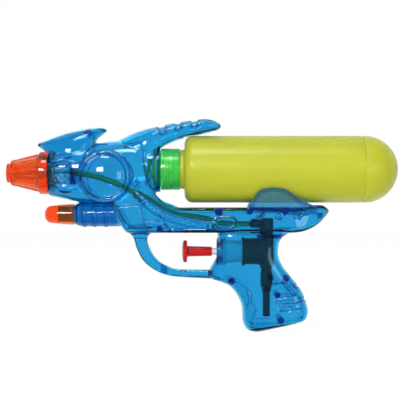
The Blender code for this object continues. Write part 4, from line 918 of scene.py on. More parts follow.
def hollow_stations(stations, wall):
    """Stations of the space inside a limb, with a thinner wall where the limb itself is thin."""
    first, last, half = stations[:, 0:2], stations[:, 2:4], stations[:, 4:5]
    span = np.linalg.norm(last - first, axis=1, keepdims=True)
    thin = np.minimum(wall, np.minimum(span * THIN_SPAN_SHARE, half * THIN_HALF_SHARE))
    step = (last - first) / span * thin
    inner = np.concatenate((first + step, last - step, half - thin), axis=1)
    cut = max(1, round(wall / STATION_SPACING))
    return inner[cut:-cut]


def round_stations(shape):
    """Stations of round sections about the lower barrel's axis, from places along it and radii."""
    return np.array([(x, LOWER_Z + radius, x, LOWER_Z - radius, radius) for x, radius in shape])


def lower_barrel_stations():
    """The lower barrel's round front, its ribs and its straight run into the frame."""
    shape = [
        (LOWER_X, LOWER_FRONT_RADIUS),
        (LOWER_X + LOWER_NOSE / 2, (LOWER_FRONT_RADIUS + 2 * LOWER_RADIUS) / 3),
        (LOWER_X + LOWER_NOSE, LOWER_RADIUS),
    ]
    crest = LOWER_RADIUS + LOWER_RIB_HEIGHT
    for start in LOWER_RIBS:
        x = LOWER_X + start
        shape += [
            (x - LOWER_RIB_HEIGHT, LOWER_RADIUS),
            (x, crest),
            (x + LOWER_RIB_WIDTH, crest),
            (x + LOWER_RIB_WIDTH + LOWER_RIB_HEIGHT, LOWER_RADIUS),
        ]
    shape.append((LOWER_X + LOWER_LENGTH, LOWER_RADIUS))
    return round_stations(shape)


def lower_hollow_stations():
    """The plain round space inside the lower barrel."""
    radius = LOWER_FRONT_RADIUS - FIT
    return round_stations(((LOWER_X + WALL, radius), (LOWER_X + LOWER_LENGTH - WALL, radius)))


def body_limbs():
    """Each limb's name, stations, stations of its hollow, and squareness."""
    limbs = []
    for name, stations, wall, power in LIMBS:
        close = dense_stations(stations)
        limbs.append((name, close, hollow_stations(close, wall), power))
    limbs.append(("lower_barrel", lower_barrel_stations(), lower_hollow_stations(), ROUND_SECTION))
    return limbs


def cheek(side):
    """A plate that flares from the frame's side up round the bottle, on the side of that sign."""
    room = BOTTLE_RADIUS + BOTTLE_GAP
    foot_z = SADDLE_Z - CHEEK_ROOT
    foot_y = FRAME_HALF - CHEEK_WALL
    sections = []
    for x, rim_z in smooth_through(CHEEK_RIM, LINE_STEPS):
        beside_bottle = math.sqrt(max(room**2 - (BOTTLE_Z - rim_z) ** 2, 0))
        rim_y = max(foot_y, beside_bottle) + CHEEK_WALL / 2
        outline = (
            (foot_y - CHEEK_WALL / 2, foot_z),
            (foot_y + CHEEK_WALL / 2, foot_z),
            (rim_y + CHEEK_WALL / 2, rim_z),
            (rim_y - CHEEK_WALL / 2, rim_z),
        )
        sections.append([(x, side * y, z) for y, z in outline])
    return lofted("cheek", sections)


def dome(name, inset):
    """The round boss through the head, with its faces and sides set in for its hollow."""
    side_inset = DOME_SIDE_WALL if inset else 0
    half = [
        (DOME_FOOT_Y - inset, DOME_FOOT_RADIUS - side_inset),
        (DOME_RING_Y - inset - DOME_RING_ROUND, DOME_RING_RADIUS - side_inset),
        (DOME_RING_Y - inset, DOME_RING_RADIUS - side_inset - DOME_RING_ROUND),
        (DOME_RING_Y - inset, DOME_GROOVE_RADIUS + DOME_RING_ROUND),
        (DOME_GROOVE_Y - inset, DOME_GROOVE_RADIUS),
        (DOME_GROOVE_Y - inset, DOME_RADIUS),
    ]
    rise = DOME_TOP_Y - DOME_GROOVE_Y
    for share in DOME_SHARES:
        half.append((DOME_GROOVE_Y + rise * (1 - share**DOME_CURVE) - inset, DOME_RADIUS * share))
    half.append((DOME_TOP_Y - inset, 0))
    profile = [(-along, radius) for along, radius in reversed(half)] + half
    return turned(name, profile, "Y", (DOME_X, 0, DOME_Z))


def voxel_skin(name, pieces, voxel):
    """One closed skin round pieces that run into each other, smoothed without shrinking."""
    skin = joined(name, pieces)
    modifier = skin.modifiers.new("skin", "REMESH")
    modifier.mode = "VOXEL"
    modifier.voxel_size = voxel
    skin.data = evaluated_mesh(skin)
    mesh = skin.data
    points = mesh_points(mesh)
    edges = np.empty(len(mesh.edges) * 2, np.int32)
    mesh.edges.foreach_get("vertices", edges)
    one, other = edges.reshape(-1, 2).T
    count = len(points)
    shares = (np.bincount(one, minlength=count) + np.bincount(other, minlength=count))[:, None]
    for factor in SMOOTH_PAIR * SMOOTH_ROUNDS:
        total = np.stack(
            [
                np.bincount(one, points[other, axis], count) + np.bincount(other, points[one, axis], count)
                for axis in range(3)
            ],
            axis=1,
        )
        points = points + factor * (total / shares - points)
    set_mesh_points(mesh, points)
    return skin


def line_distance(places, line, reach):
    """How far each place (X, Z) is from a line through points, and how far along it, within a reach."""
    line = np.asarray(line, float)
    nearest = np.full(len(places), np.inf)
    along = np.zeros(len(places))
    near = np.all((places > line.min(axis=0) - reach) & (places < line.max(axis=0) + reach), axis=1)
    spots = places[near]
    best = np.full(len(spots), np.inf)
    best_along = np.zeros(len(spots))
    passed = 0.0
    for start, end in zip(line, line[1:]):
        step = end - start
        length = np.linalg.norm(step)
        share = np.clip((spots - start) @ step / length**2, 0, 1)
        distance = np.linalg.norm(spots - start - share[:, None] * step, axis=1)
        closer = distance < best
        best[closer] = distance[closer]
        best_along[closer] = passed + share[closer] * length
        passed += length
    nearest[near] = best
    along[near] = best_along
    return nearest, along


def bump(distance, half):
    """A round-topped bump over a distance, 1 in the middle and 0 past its half width."""
    return np.clip(1 - (distance / half) ** 2, 0, None) ** BUMP_POWER


def inside_outline(places, outline):
    """Which places lie inside a closed outline."""
    inside = np.zeros(len(places), bool)
    x, z = places.T
    for (x0, z0), (x1, z1) in zip(outline, np.roll(outline, -1, axis=0)):
        crosses = (z0 > z) != (z1 > z)
        slant = (x1 - x0) / (z1 - z0) if z1 != z0 else 0
        inside ^= crosses & (x < slant * (z - z0) + x0)
    return inside


def chain_relief(places):
    """Height and painted edge shade of the bead chain between its two knobs and its slot."""
    distance, along = line_distance(places, smooth_through(CHAIN, LINE_STEPS), 2 * CHAIN_HALF)
    wave = np.cos(along / BEAD_PITCH * math.tau)
    half = CHAIN_HALF + CHAIN_WAVE * wave
    height = CHAIN_HEIGHT * bump(distance, half) * (CHAIN_LEVEL + CHAIN_SWELL * wave)
    line = bump(distance - half, LINE_REACH)
    for knob in CHAIN_KNOBS:
        reach = np.linalg.norm(places - np.array(knob), axis=1)
        height = np.maximum(height, KNOB_HEIGHT * bump(reach, KNOB_RADIUS))
        line = np.maximum(line, bump(reach - KNOB_RADIUS, LINE_REACH))
    return height, line


def side_relief(places):
    """Height of the relief on the body's sides at each place (X, Z), and how much painted shade its edges
    get.
    """
    height, line = chain_relief(places)
    for points, half, rise in RELIEF_LINES:
        distance, _ = line_distance(places, smooth_through(points, LINE_STEPS), 4 * half)
        height += rise * bump(distance, half)
        edge = half if rise > 0 else 0
        line = np.maximum(line, bump(distance - edge, LINE_REACH))
    for first, last, half in SLOTS:
        distance, _ = line_distance(places, (first, last), 2 * half)
        height += SLOT_RIM_HEIGHT * bump(distance - half, SLOT_RIM)
        line = np.maximum(line, bump(distance - half, LINE_REACH))
    for region, rise in ((PLATE, PLATE_RISE), (RECESS, RECESS_RISE)):
        outline = np.array(region)
        inside = inside_outline(places, outline)
        edge, _ = line_distance(places, np.concatenate((outline, outline[:1])), REGION_EDGE)
        height += rise * inside * smooth_step(np.minimum(edge, REGION_EDGE), 0, REGION_EDGE)
        line = np.maximum(line, bump(edge, RING_REACH))
    return height, line


def vertex_normals(mesh):
    normals = np.empty(len(mesh.vertices) * 3)
    mesh.vertex_normals.foreach_get("vector", normals)
    return normals.reshape(-1, 3)


def notch_depth(places):
    """Depth of the notches and how much painted shade their edges get."""
    depth = np.zeros(len(places))
    line = np.zeros(len(places))
    for first, last, half, deep in NOTCHES:
        distance, _ = line_distance(places, (first, last), 2 * half)
        distance = np.minimum(distance, 2 * half)
        depth += deep * smooth_step(half - distance, 0, NOTCH_EDGE)
        line = np.maximum(line, bump(distance - half, LINE_REACH))
    return depth, line


def add_relief(skin):
    """Raise and sink the moulded relief along the skin's normals."""
    points = mesh_points(skin.data)
    normals = vertex_normals(skin.data)
    places = points[:, [0, 2]]
    sideways = smooth_step(np.abs(normals[:, 1]), *RELIEF_FACING)
    height = side_relief(places)[0] * sideways - notch_depth(places)[0]
    set_mesh_points(skin.data, points + normals * height[:, None])


def on_cheek(points):
    """1 for points of the plates that flare round the bottle, and else 0."""
    x, y, z = points.T
    beyond = (x > CHEEK_RIM[0][0]) & (x < CHEEK_RIM[-1][0]) & (z > SADDLE_Z)
    return (beyond & (np.abs(y) > FRAME_HALF - 2 * CHEEK_WALL)).astype(float)


def mark_shade_and_cloud(shell):
    """Keep the painted shade along moulded edges and on darker places, and where the shell is cloudy, as
    attributes of the mesh.
    """
    points = mesh_points(shell.data)
    x = points[:, 0]
    places = points[:, [0, 2]]
    outward = vertex_normals(shell.data)[:, 1] * np.sign(points[:, 1])
    off_axis = np.linalg.norm(points[:, 1:3] - np.array((0, LOWER_Z)), axis=1)
    on_barrel = (off_axis < LOWER_RADIUS + LOWER_RIB_WIDTH) & (off_axis > LOWER_FRONT_RADIUS)
    on_spigot = (off_axis < LOWER_FRONT_RADIUS) & (x < TIP_REAR_X)
    off_dome = np.linalg.norm(places - np.array((DOME_X, DOME_Z)), axis=1)
    flared = on_cheek(points)
    to_rim, _ = line_distance(places, smooth_through(CHEEK_RIM, LINE_STEPS), CHEEK_RIM_WIDTH)
    # Painted shade along moulded edges, notches, the barrel's ribs and the dome's rings, over the lower
    # barrel and along the cheek's rim, with a deeper blue over the dome and the spigot
    shade_and_tint_layers = [
        side_relief(places)[1] * smooth_step(outward, *LINE_FACING),
        notch_depth(places)[1] * smooth_step(outward, *NOTCH_FACING),
        LOWER_PAINTED_SHADE * (on_barrel & (x < LOWER_SHADE_END_X)),
        SPIGOT_TINT * on_spigot,
        DOME_TINT * (off_dome < DOME_RADIUS) * (outward > 0),
        CHEEK_RIM_PAINTED_SHADE * flared * (to_rim < CHEEK_RIM_WIDTH),
    ]
    shade_and_tint_layers += [on_barrel * bump(x - LOWER_X - along, RING_REACH) for along in LOWER_RIBS]
    for radius in (DOME_FOOT_RADIUS, DOME_GROOVE_RADIUS):
        shade_and_tint_layers.append(bump(off_dome - radius, RING_REACH) * smooth_step(outward, *RING_FACING))
    for name, values in (("painted_shade_and_tint", np.maximum.reduce(shade_and_tint_layers)), ("cloudy", flared)):
        layer = shell.data.attributes.new(name, "FLOAT", "POINT")
        layer.data.foreach_set("value", values)


def outer_body():
    """The body as a full solid with its relief."""
    pieces = [limb(name, outside, power) for name, outside, _, power in body_limbs()]
    pieces.append(dome("dome", 0))
    socket_x = SOCKET_REAR_X - SOCKET_DEPTH
    pieces.append(rod("socket", "X", socket_x, SOCKET_REAR_X, SOCKET_RADIUS, (0, 0, BOTTLE_Z)))
    pieces.append(rod("boss", "X", BOSS_X, BOSS_END_X, BOSS_RADIUS, (0, 0, PUMP_Z)))
    spigot_end = LOWER_X + LOWER_NOSE
    pieces.append(rod("spigot", "X", LOWER_SPIGOT_X, spigot_end, LOWER_SPIGOT_RADIUS, (0, 0, LOWER_Z)))
    pieces += [cheek(side) for side in (-1, 1)]
    body = voxel_skin("body", pieces, OUTER_VOXEL)
    add_relief(body)
    return body


def shell_features():
    """Posts and ribs inside the shells, from wall to wall."""
    posts = [rod("post", "Y", -FAR, FAR, radius, (x, 0, z), SMALL_SIDES) for x, z, radius in POSTS]
    low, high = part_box("inlet_fitting")
    start = (high.y - low.y) / 2 + FIT
    for along, above, radius in REST_POSTS:
        centre = (COLUMN_X + along, 0, low.z + above)
        for near, far in ((start, FAR), (-FAR, -start)):
            posts.append(rod("post", "Y", near, far, radius, centre, SMALL_SIDES))
    ribs = [
        block("rib", (low_x, -FAR, low_z), (high_x, FAR, high_z))
        for low_x, low_z, high_x, high_z in (HOSE_RIB, PUMP_SHELF, *GUARD_WEBS)
    ]
    boss = rod("boss", "X", BOSS_X, BOSS_END_X, BOSS_RADIUS, (0, 0, PUMP_Z))
    return posts + ribs + [boss]


def body_hollow():
    """The space inside the body, with the posts and ribs left standing."""
    pieces = [limb(name, inside, power) for name, _, inside, power in body_limbs()]
    pieces.append(dome("dome", WALL))
    socket_x = SOCKET_REAR_X - SOCKET_DEPTH
    pieces.append(rod("socket", "X", socket_x, SOCKET_INNER_X, SOCKET_RADIUS - WALL, (0, 0, BOTTLE_Z)))
    space = voxel_skin("space", pieces, INNER_VOXEL)
    for feature in shell_features():
        combine(space, feature, "DIFFERENCE")
    return space


def body_holes():
    """Cutters for what passes through the body's walls, and for what needs room inside it."""
    seal_end = BOSS_END_X + BARREL_SEAL_THICKNESS + 2 * FIT
    seal_room = BARREL_RADIUS + BARREL_SEAL_WIDTH + 2 * FIT
    shelf_low, shelf_high = PUMP_SHELF[1] - CUT_PAST, PUMP_SHELF[3] + CUT_PAST
    bottle_room = BOTTLE_RADIUS + BOTTLE_GAP
    spigot_bore = LOWER_SPIGOT_RADIUS - LOWER_SPIGOT_WALL
    collar_room = COLLAR_WAIST_RADIUS + FIT
    holes = []
    for height, start, end, radius, *sides in (
        (NOZZLE_Z, MUZZLE_X - CUT_PAST, MUZZLE_X + CUT_PAST, NOZZLE_PLUG_RADIUS + FIT),
        (LOWER_Z, LOWER_SPIGOT_X + WALL, LOWER_X + CUT_PAST, spigot_bore),
        (BOTTLE_Z, SOCKET_INNER_X - CUT_PAST, SOCKET_REAR_X + CUT_PAST, collar_room),
        (PUMP_Z, BOSS_X - CUT_PAST, BARREL_X, STEM_RADIUS + BOSS_LIP_GAP),
        (PUMP_Z, BOSS_X + BOSS_LIP, BOSS_END_X + CUT_PAST, BARREL_RADIUS + FIT),
        (PUMP_Z, BOSS_END_X, seal_end, seal_room),
        (BOTTLE_Z, SHOULDER_X - BOTTLE_GAP, BOTTLE_END_X, bottle_room, BOTTLE_ROOM_SIDES),
    ):
        holes.append(rod("hole", "X", start, end, radius, (0, 0, height), *sides))
    holes.append(rod("hole", "Z", shelf_low, shelf_high, COLUMN_RADIUS + FIT, (COLUMN_X, 0, 0)))
    holes.append(tube("hole", hose_points(), 0, HOSE_RADIUS + HOSE_ROOM))
    return holes


def shells():
    """The hollow body, split at the seam and pegged together at its posts."""
    left = outer_body()
    combine(left, body_hollow(), "DIFFERENCE")
    for hole in body_holes():
        combine(left, hole, "DIFFERENCE")
    seam = SEAM_GAP / 2
    right = placed("shell_right", left.data.copy())
    left.name = "shell_left"
    combine(left, block("half", (-FAR, -FAR, -FAR), (FAR, -seam, FAR)), "INTERSECT")
    combine(right, block("half", (-FAR, seam, -FAR), (FAR, FAR, FAR)), "INTERSECT")
    for x, z, _ in POSTS:
        peg = rod("peg", "Y", -seam - PEG_ROOT, PEG_LENGTH, PEG_RADIUS, (x, 0, z), SMALL_SIDES)
        combine(left, peg, "UNION")
        hole = rod("peg_hole", "Y", -seam, PEG_LENGTH + FIT, PEG_RADIUS + FIT, (x, 0, z), SMALL_SIDES)
        combine(right, hole, "DIFFERENCE")
    mark_shade_and_cloud(left)
    mark_shade_and_cloud(right)
    return left, right


def flute(piece, centre_z, start, end, least_radius, lift_at):
    """Raise ridges or sink grooves along X on the outside of a turned piece, growing from the start."""
    mesh = piece.data
    points = mesh_points(mesh)
    across = points[:, 1:3] - np.array((0, centre_z))
    radius = np.linalg.norm(across, axis=1)
    angle = np.arctan2(across[:, 1], across[:, 0])
    x = points[:, 0]
    full = start + FLUTE_GROWTH * (end - start)
    grown = smooth_step(x, start, full) * (x < end) * (radius > least_radius(x))
    lift = grown * lift_at(angle)
    points[:, 1:3] += across / np.maximum(radius, FIT)[:, None] * lift[:, None]
    set_mesh_points(mesh, points)


def nozzle():
    """A fluted cone with a plain tip, a collar, a plug for the muzzle and a sleeve for the jet."""
    cone_x = NOZZLE_TIP_X + NOZZLE_TIP_LENGTH
    collar_x = NOZZLE_REAR_X - NOZZLE_COLLAR_LENGTH
    groove_x = collar_x + NOZZLE_COLLAR_GROOVE
    taper = NOZZLE_CONE_REAR_RADIUS - NOZZLE_CONE_FRONT_RADIUS
    cone = []
    for share in CONE_SHARES:
        waist = NOZZLE_CONE_WAIST * math.sin(math.pi * share)
        radius = NOZZLE_CONE_FRONT_RADIUS + taper * share
        cone.append((cone_x + (collar_x - cone_x) * share, radius - waist))
    sleeve_bore = JET_RADIUS + FIT
    sleeve_radius = sleeve_bore + JET_SLEEVE_WALL
    plug_end = MUZZLE_X + NOZZLE_PLUG_LENGTH
    plug_bore = NOZZLE_PLUG_RADIUS - NOZZLE_WALL
    inner_set = NOZZLE_WALL + NOZZLE_CONE_WAIST
    inner_front = NOZZLE_CONE_FRONT_RADIUS - NOZZLE_WALL
    profile = (
        (NOZZLE_TIP_X, sleeve_bore),
        (NOZZLE_TIP_X, NOZZLE_TIP_RADIUS),
        (cone_x, NOZZLE_TIP_RADIUS),
        *cone,
        (groove_x, NOZZLE_CONE_REAR_RADIUS),
        (groove_x, NOZZLE_COLLAR_RADIUS - NOZZLE_COLLAR_BEVEL),
        (groove_x + NOZZLE_COLLAR_BEVEL, NOZZLE_COLLAR_RADIUS),
        *stairs(NOZZLE_COLLAR_RADIUS, (NOZZLE_REAR_X, NOZZLE_PLUG_RADIUS), (plug_end, plug_bore)),
        (NOZZLE_REAR_X - NOZZLE_WALL, plug_bore),
        (collar_x + NOZZLE_COLLAR_BEVEL, NOZZLE_CONE_REAR_RADIUS - NOZZLE_WALL),
        ((cone_x + collar_x) / 2, (NOZZLE_CONE_FRONT_RADIUS + NOZZLE_CONE_REAR_RADIUS) / 2 - inner_set),
        *stairs(inner_front, (cone_x + NOZZLE_WALL, sleeve_radius), (JET_SLEEVE_END_X, sleeve_bore)),
    )
    piece = turned("nozzle_cone", softened(profile, MOULDED_EDGE), "X", (0, 0, NOZZLE_Z), NOZZLE_SIDES)

    def outside(x):
        share = (x - cone_x) / (collar_x - cone_x)
        return NOZZLE_CONE_FRONT_RADIUS + taper * share - NOZZLE_CONE_WAIST - FIT

    def ridges(angle):
        return NOZZLE_FLUTE_HEIGHT * np.abs(np.sin(angle * NOZZLE_FLUTES / 2)) ** NOZZLE_FLUTE_SHARPNESS

    flute(piece, NOZZLE_Z, cone_x, collar_x, outside, ridges)
    return piece


def nozzle_jet():
    low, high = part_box("nozzle_jet")
    profile = stairs(
        JET_BORE,
        (low.x, JET_RADIUS),
        (JET_FLANGE_X, node_radius("nozzle_jet")),
        (JET_FLANGE_END_X, BARB_RADIUS),
        (high.x, JET_BORE),
    )
    return turned("jet_insert", softened(profile, SMALL_EDGE), "X", (0, 0, NOZZLE_Z))


def lower_tip():
    """A bullet-shaped cap over the lower barrel's spigot."""
    nose_end = TIP_NOSE_X + TIP_NOSE_LENGTH
    bore = LOWER_SPIGOT_RADIUS + FIT
    bore_x = LOWER_SPIGOT_X - FIT
    flank = []
    for share in TIP_FLANK_SHARES:
        swell = 1 - (1 - share) ** 2
        radius = TIP_NOSE_RADIUS + (TIP_RADIUS - TIP_NOSE_RADIUS) * swell
        flank.append((nose_end + share * (TIP_REAR_X - nose_end), radius))
    profile = (
        *oval_nose(TIP_NOSE_X, TIP_NOSE_LENGTH, TIP_NOSE_RADIUS),
        *flank,
        (TIP_REAR_X, bore),
        (bore_x, bore),
        (bore_x, 0),
    )
    return turned("bullet_tip", softened(profile, MOULDED_EDGE), "X", (0, 0, LOWER_Z))


def thread(root, crest, start):
    """One screw ridge along X, faded in and out, that sinks a little into the wall it stands on."""
    steps = round(THREAD_STEPS * THREAD_TURNS)
    sunk = root - math.copysign(THREAD_SUNK, crest - root)
    fade = THREAD_STEPS / 4
    sections = []
    for step in range(steps + 1):
        angle = math.tau * step / THREAD_STEPS
        x = start + THREAD_PITCH * step / THREAD_STEPS
        share = (min(step, steps - step) + 1) / fade
        height = root + (crest - root) * min(1, share)
        shape = (
            (-THREAD_ROOT_WIDTH / 2, sunk),
            (-THREAD_ROOT_WIDTH / 2, root),
            (-THREAD_CREST_WIDTH / 2, height),
            (THREAD_CREST_WIDTH / 2, height),
            (THREAD_ROOT_WIDTH / 2, root),
            (THREAD_ROOT_WIDTH / 2, sunk),
        )
        sections.append([
            (x + along, radius * math.cos(angle), BOTTLE_Z + radius * math.sin(angle))
            for along, radius in shape
        ])
    return lofted("ridge", sections)


def neck_collar():
    inner = COLLAR_RADIUS - COLLAR_WALL
    flange_x = COLLAR_INLET_X + COLLAR_INLET_LENGTH
    profile = stairs(
        COLLAR_BORE,
        (COLLAR_INLET_X, COLLAR_INLET_RADIUS),
        (flange_x, COLLAR_FLANGE_RADIUS),
        (flange_x + COLLAR_FLANGE_LENGTH, COLLAR_WAIST_RADIUS),
        (COLLAR_X, COLLAR_RADIUS),
        (COLLAR_END_X, inner),
        (COLLAR_X + WALL, COLLAR_BORE),
    )
    piece = turned("green_collar", softened(profile, MOULDED_EDGE), "X", (0, 0, BOTTLE_Z))
    start = MOUTH_X + THREAD_LEAD_IN + THREAD_PITCH / 2
    combine(piece, thread(inner, NECK_RADIUS + THREAD_CLEARANCE, start), "UNION")
    return piece


def bottle():
    """A bottle with a domed end and a threaded neck, open at its mouth."""
    corner_x = SHOULDER_X + BOTTLE_CORNER
    corner = (corner_x, BOTTLE_RADIUS - BOTTLE_CORNER)
    dome_x = BOTTLE_END_X - BOTTLE_RADIUS
    groove = dome_x - BOTTLE_GROOVE_TO_DOME
    inside = BOTTLE_RADIUS - BOTTLE_WALL
    bore = NECK_RADIUS - NECK_WALL
    groove_shape = [
        (groove + BOTTLE_GROOVE_WIDTH * along, BOTTLE_RADIUS - BOTTLE_GROOVE_DEPTH * deep)
        for along, deep in BOTTLE_GROOVE
    ]
    straight = [(groove + (corner_x - groove) * share, BOTTLE_RADIUS) for share in BOTTLE_RING_SHARES]
    profile = (
        (BOTTLE_END_X, 0),
        *arc((dome_x, 0), BOTTLE_RADIUS, 5, 90, 24),
        *groove_shape,
        *straight,
        *arc(corner, BOTTLE_CORNER, 90, 172, 12),
        (SHOULDER_X, NECK_BEAD_RADIUS + SHOULDER_RISE),
        (SHOULDER_X - SHOULDER_SLOPE, NECK_BEAD_RADIUS),
        *stairs(NECK_BEAD_RADIUS, (BEAD_X, NECK_RADIUS), (MOUTH_X, bore)),
        (SHOULDER_X + BOTTLE_WALL, bore),
        *arc(corner, BOTTLE_CORNER - BOTTLE_WALL, 180, 90, 8),
        (groove, inside - BOTTLE_GROOVE_DEPTH / 2),
        *arc((dome_x, 0), inside, 90, 6, 16),
        (BOTTLE_END_X - BOTTLE_WALL, 0),
    )
    piece = turned("water_bottle", softened(profile, SOFT_EDGE), "X", (0, 0, BOTTLE_Z), BOTTLE_SIDES)
    combine(piece, thread(NECK_RADIUS, NECK_RADIUS + THREAD_DEPTH, MOUTH_X + THREAD_LEAD_IN), "UNION")
    return piece


def trigger():
    """A domed button on a grooved stem, with a socket for the plunger."""
    low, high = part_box("trigger")
    radius = node_radius("trigger")
    back = low.x + TRIGGER_DOME + TRIGGER_RIM
    plain_end = back + STEM_PLAIN_LENGTH
    socket_x = high.x - STEM_SOCKET_DEPTH
    profile = (
        *oval_nose(low.x, TRIGGER_DOME, radius),
        (back, radius),
        (back, STEM_RADIUS + TRIGGER_FILLET),
        (back + TRIGGER_FILLET_LENGTH, STEM_RADIUS),
        (plain_end, STEM_RADIUS),
        (high.x - STEM_END_LENGTH, STEM_RADIUS),
        *stairs(STEM_RADIUS, (high.x, STEM_SOCKET_RADIUS), (socket_x, 0)),
    )
    piece = turned("trigger_button", softened(profile, MOULDED_EDGE), "X", (0, 0, PUMP_Z))

    def outside(x):
        return np.where(x < socket_x, STEM_SOCKET_RADIUS, STEM_RADIUS - FIT)

    def grooves(angle):
        return -STEM_FLUTE_DEPTH * np.abs(np.cos(angle * STEM_FLUTES / 2)) ** STEM_FLUTE_SHARPNESS

    flute(piece, PUMP_Z, plain_end, high.x - FIT, outside, grooves)
    return piece


def plunger():
    low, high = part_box("plunger")
    head = node_radius("plunger")
    piston_x = high.x - PISTON_LENGTH
    groove_x = piston_x + (PISTON_LENGTH - PISTON_GROOVE_WIDTH) / 2
    profile = stairs(
        0,
        (low.x, ROD_RADIUS),
        (piston_x, head),
        (groove_x, head - PISTON_GROOVE_DEPTH),
        (groove_x + PISTON_GROOVE_WIDTH, head),
        (high.x, 0),
    )
    return turned("plunger_rod", softened(profile, FINE_EDGE), "X", (0, 0, PUMP_Z))


def seal(name, node, inner, edge):
    """A seal ring in the place of a node that is round about an axis along X."""
    low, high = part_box(node)
    centre = (0, 0, node_middle(node).z)
    return ring(name, "X", low.x, high.x, inner, node_radius(node), centre, edge)


def pump_barrel():
    """A tube with a slight waist between its two ends."""
    waist = BARREL_RADIUS - BARREL_WAIST_DEPTH
    waist_x = BARREL_X + BARREL_FRONT_LENGTH
    waist_end_x = BARREL_END_X - BARREL_REAR_LENGTH
    profile = (
        (BARREL_X, BARREL_BORE),
        (BARREL_X, BARREL_RADIUS),
        (waist_x, BARREL_RADIUS),
        (waist_x + BARREL_WAIST_DEPTH, waist),
        (waist_end_x - BARREL_WAIST_DEPTH, waist),
        (waist_end_x, BARREL_RADIUS),
        (BARREL_END_X, BARREL_RADIUS),
        (BARREL_END_X, BARREL_BORE),
    )
    return turned("pump_tube", softened(profile, FINE_EDGE), "X", (0, 0, PUMP_Z))


def return_spring():
    """An unbroken helix of wire about the pump axis."""
    low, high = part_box("return_spring")
    start = low.x + SPRING_WIRE_RADIUS
    end = high.x - SPRING_WIRE_RADIUS
    count = SPRING_TURNS * SPRING_STEPS
    turns = np.arange(count + 1) / SPRING_STEPS * math.tau
    x = start + (end - start) * np.arange(count + 1) / count
    points = np.stack((x, SPRING_RADIUS * np.cos(turns), PUMP_Z + SPRING_RADIUS * np.sin(turns)), axis=1)
    wire_angles = [math.tau * step / WIRE_SIDES for step in range(WIRE_SIDES)]
    sideways = Vector((1, 0, 0))
    sections = []
    for turn, point in zip(turns, points):
        outward = Vector((0, math.cos(turn), math.sin(turn)))
        sections.append([
            Vector(point) + SPRING_WIRE_RADIUS * (outward * math.cos(angle) + sideways * math.sin(angle))
            for angle in wire_angles
        ])
    return lofted("spring_coil", sections)


def valve_block():
    """The pump block with its teeth, and a column with a valve cage at its top."""
    pump = (0, 0, PUMP_Z)
    column = (COLUMN_X, 0, 0)
    depth = BLOCK_RADIUS - FIT
    top_spigot = COLUMN_TOP_Z + OUTLET_SPIGOT_LENGTH
    foot_spigot = COLUMN_BOTTOM_Z - INLET_SPIGOT_LENGTH
    flange_end = BLOCK_X + BLOCK_FLANGE_LENGTH
    back_low = (CHAMBER_END_X - WALL, -COLUMN_RADIUS, PUMP_Z - depth)
    back_high = (COLUMN_X + COLUMN_RADIUS, COLUMN_RADIUS, PUMP_Z + depth)
    solids = [
        rod("valve_body", "X", BLOCK_X, BLOCK_X + BLOCK_LENGTH, depth, pump, edge=MOULDED_EDGE),
        rod("flange", "X", BLOCK_X - FIT, flange_end, BLOCK_FLANGE_RADIUS, pump, edge=SMALL_EDGE),
        block("back", back_low, back_high),
        rod("column", "Z", COLUMN_BOTTOM_Z, COLUMN_TOP_Z, COLUMN_RADIUS - FIT, column, edge=SMALL_EDGE),
        rod("spigot", "Z", PUMP_Z, top_spigot, OUTLET_SPIGOT_RADIUS, column),
        rod("spigot", "Z", foot_spigot, PUMP_Z, INLET_SPIGOT_RADIUS, column),
    ]
    for index in range(BLOCK_TEETH):
        x = BLOCK_X + BLOCK_TEETH_START + 2 * BLOCK_TOOTH * index
        low = (x, -COLUMN_RADIUS - FIT, PUMP_Z + depth - BLOCK_TOOTH_ROOT)
        high = (x + BLOCK_TOOTH, COLUMN_RADIUS + FIT, PUMP_Z + BLOCK_RADIUS)
        solids.append(block("tooth", low, high))
    body = united("valve_body", solids)
    cage_floor = COLUMN_TOP_Z - OUTLET_SEAT_DEPTH
    cuts = (
        rod("cut", "X", BLOCK_X - CUT_PAST, BLOCK_FLOOR_X, BARREL_RADIUS + FIT, pump),
        rod("cut", "X", BLOCK_X, CHAMBER_END_X, CHAMBER_RADIUS, pump),
        rod("cut", "X", CHAMBER_END_X - CUT_PAST, COLUMN_X, PORT_RADIUS, pump, SMALL_SIDES),
        rod("cut", "Z", foot_spigot - CUT_PAST, COLUMN_TOP_Z, PORT_RADIUS, column, SMALL_SIDES),
        rod("cut", "Z", cage_floor, top_spigot + CUT_PAST, CAGE_RADIUS, column, BALL_SIDES),
    )
    for cut in cuts:
        combine(body, cut, "DIFFERENCE")
    return body


def inlet_fitting():
    """A column with bands, a socket at each end and a valve seat between them."""
    low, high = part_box("inlet_fitting")
    radius = (high.y - low.y) / 2
    foot = radius - INLET_BAND
    head = radius - INLET_BAND / 2
    dip_low, dip_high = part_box("dip_tube")
    dip_socket = (dip_high.y - dip_low.y) / 2 + FIT
    profile = (
        (low.z, dip_socket),
        (low.z, foot),
        (low.z + INLET_FOOT, foot),
        (low.z + INLET_FOOT + INLET_FOOT_SLOPE, radius),
        (high.z - INLET_HEAD, radius),
        (high.z - INLET_HEAD + INLET_HEAD_SLOPE, head),
        *stairs(
            head,
            (high.z, INLET_SPIGOT_RADIUS + FIT),
            (COLUMN_BOTTOM_Z - INLET_SPIGOT_LENGTH - FIT, CAGE_RADIUS),
            (low.z + INLET_SEAT_HEIGHT, PORT_RADIUS),
            (dip_high.z + FIT, dip_socket),
        ),
    )
    return turned("inlet_column", softened(profile, FINE_EDGE), "Z", (COLUMN_X, 0, 0))


def valve_ball(name, node):
    radius = node_radius(node)
    half_turn = arc((0, 0), radius, BALL_POLE_ANGLE, 180 - BALL_POLE_ANGLE, BALL_STEPS)
    profile = [(radius, 0), *half_turn, (-radius, 0)]
    return turned(name, profile, "Z", node_middle(node), BALL_SIDES)


def dip_tube():
    low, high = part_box("dip_tube")
    radius = (high.y - low.y) / 2
    column = (COLUMN_X, 0, 0)
    return ring("suction_tube", "Z", low.z, high.z, radius - DIP_WALL, radius, column, THIN_EDGE)


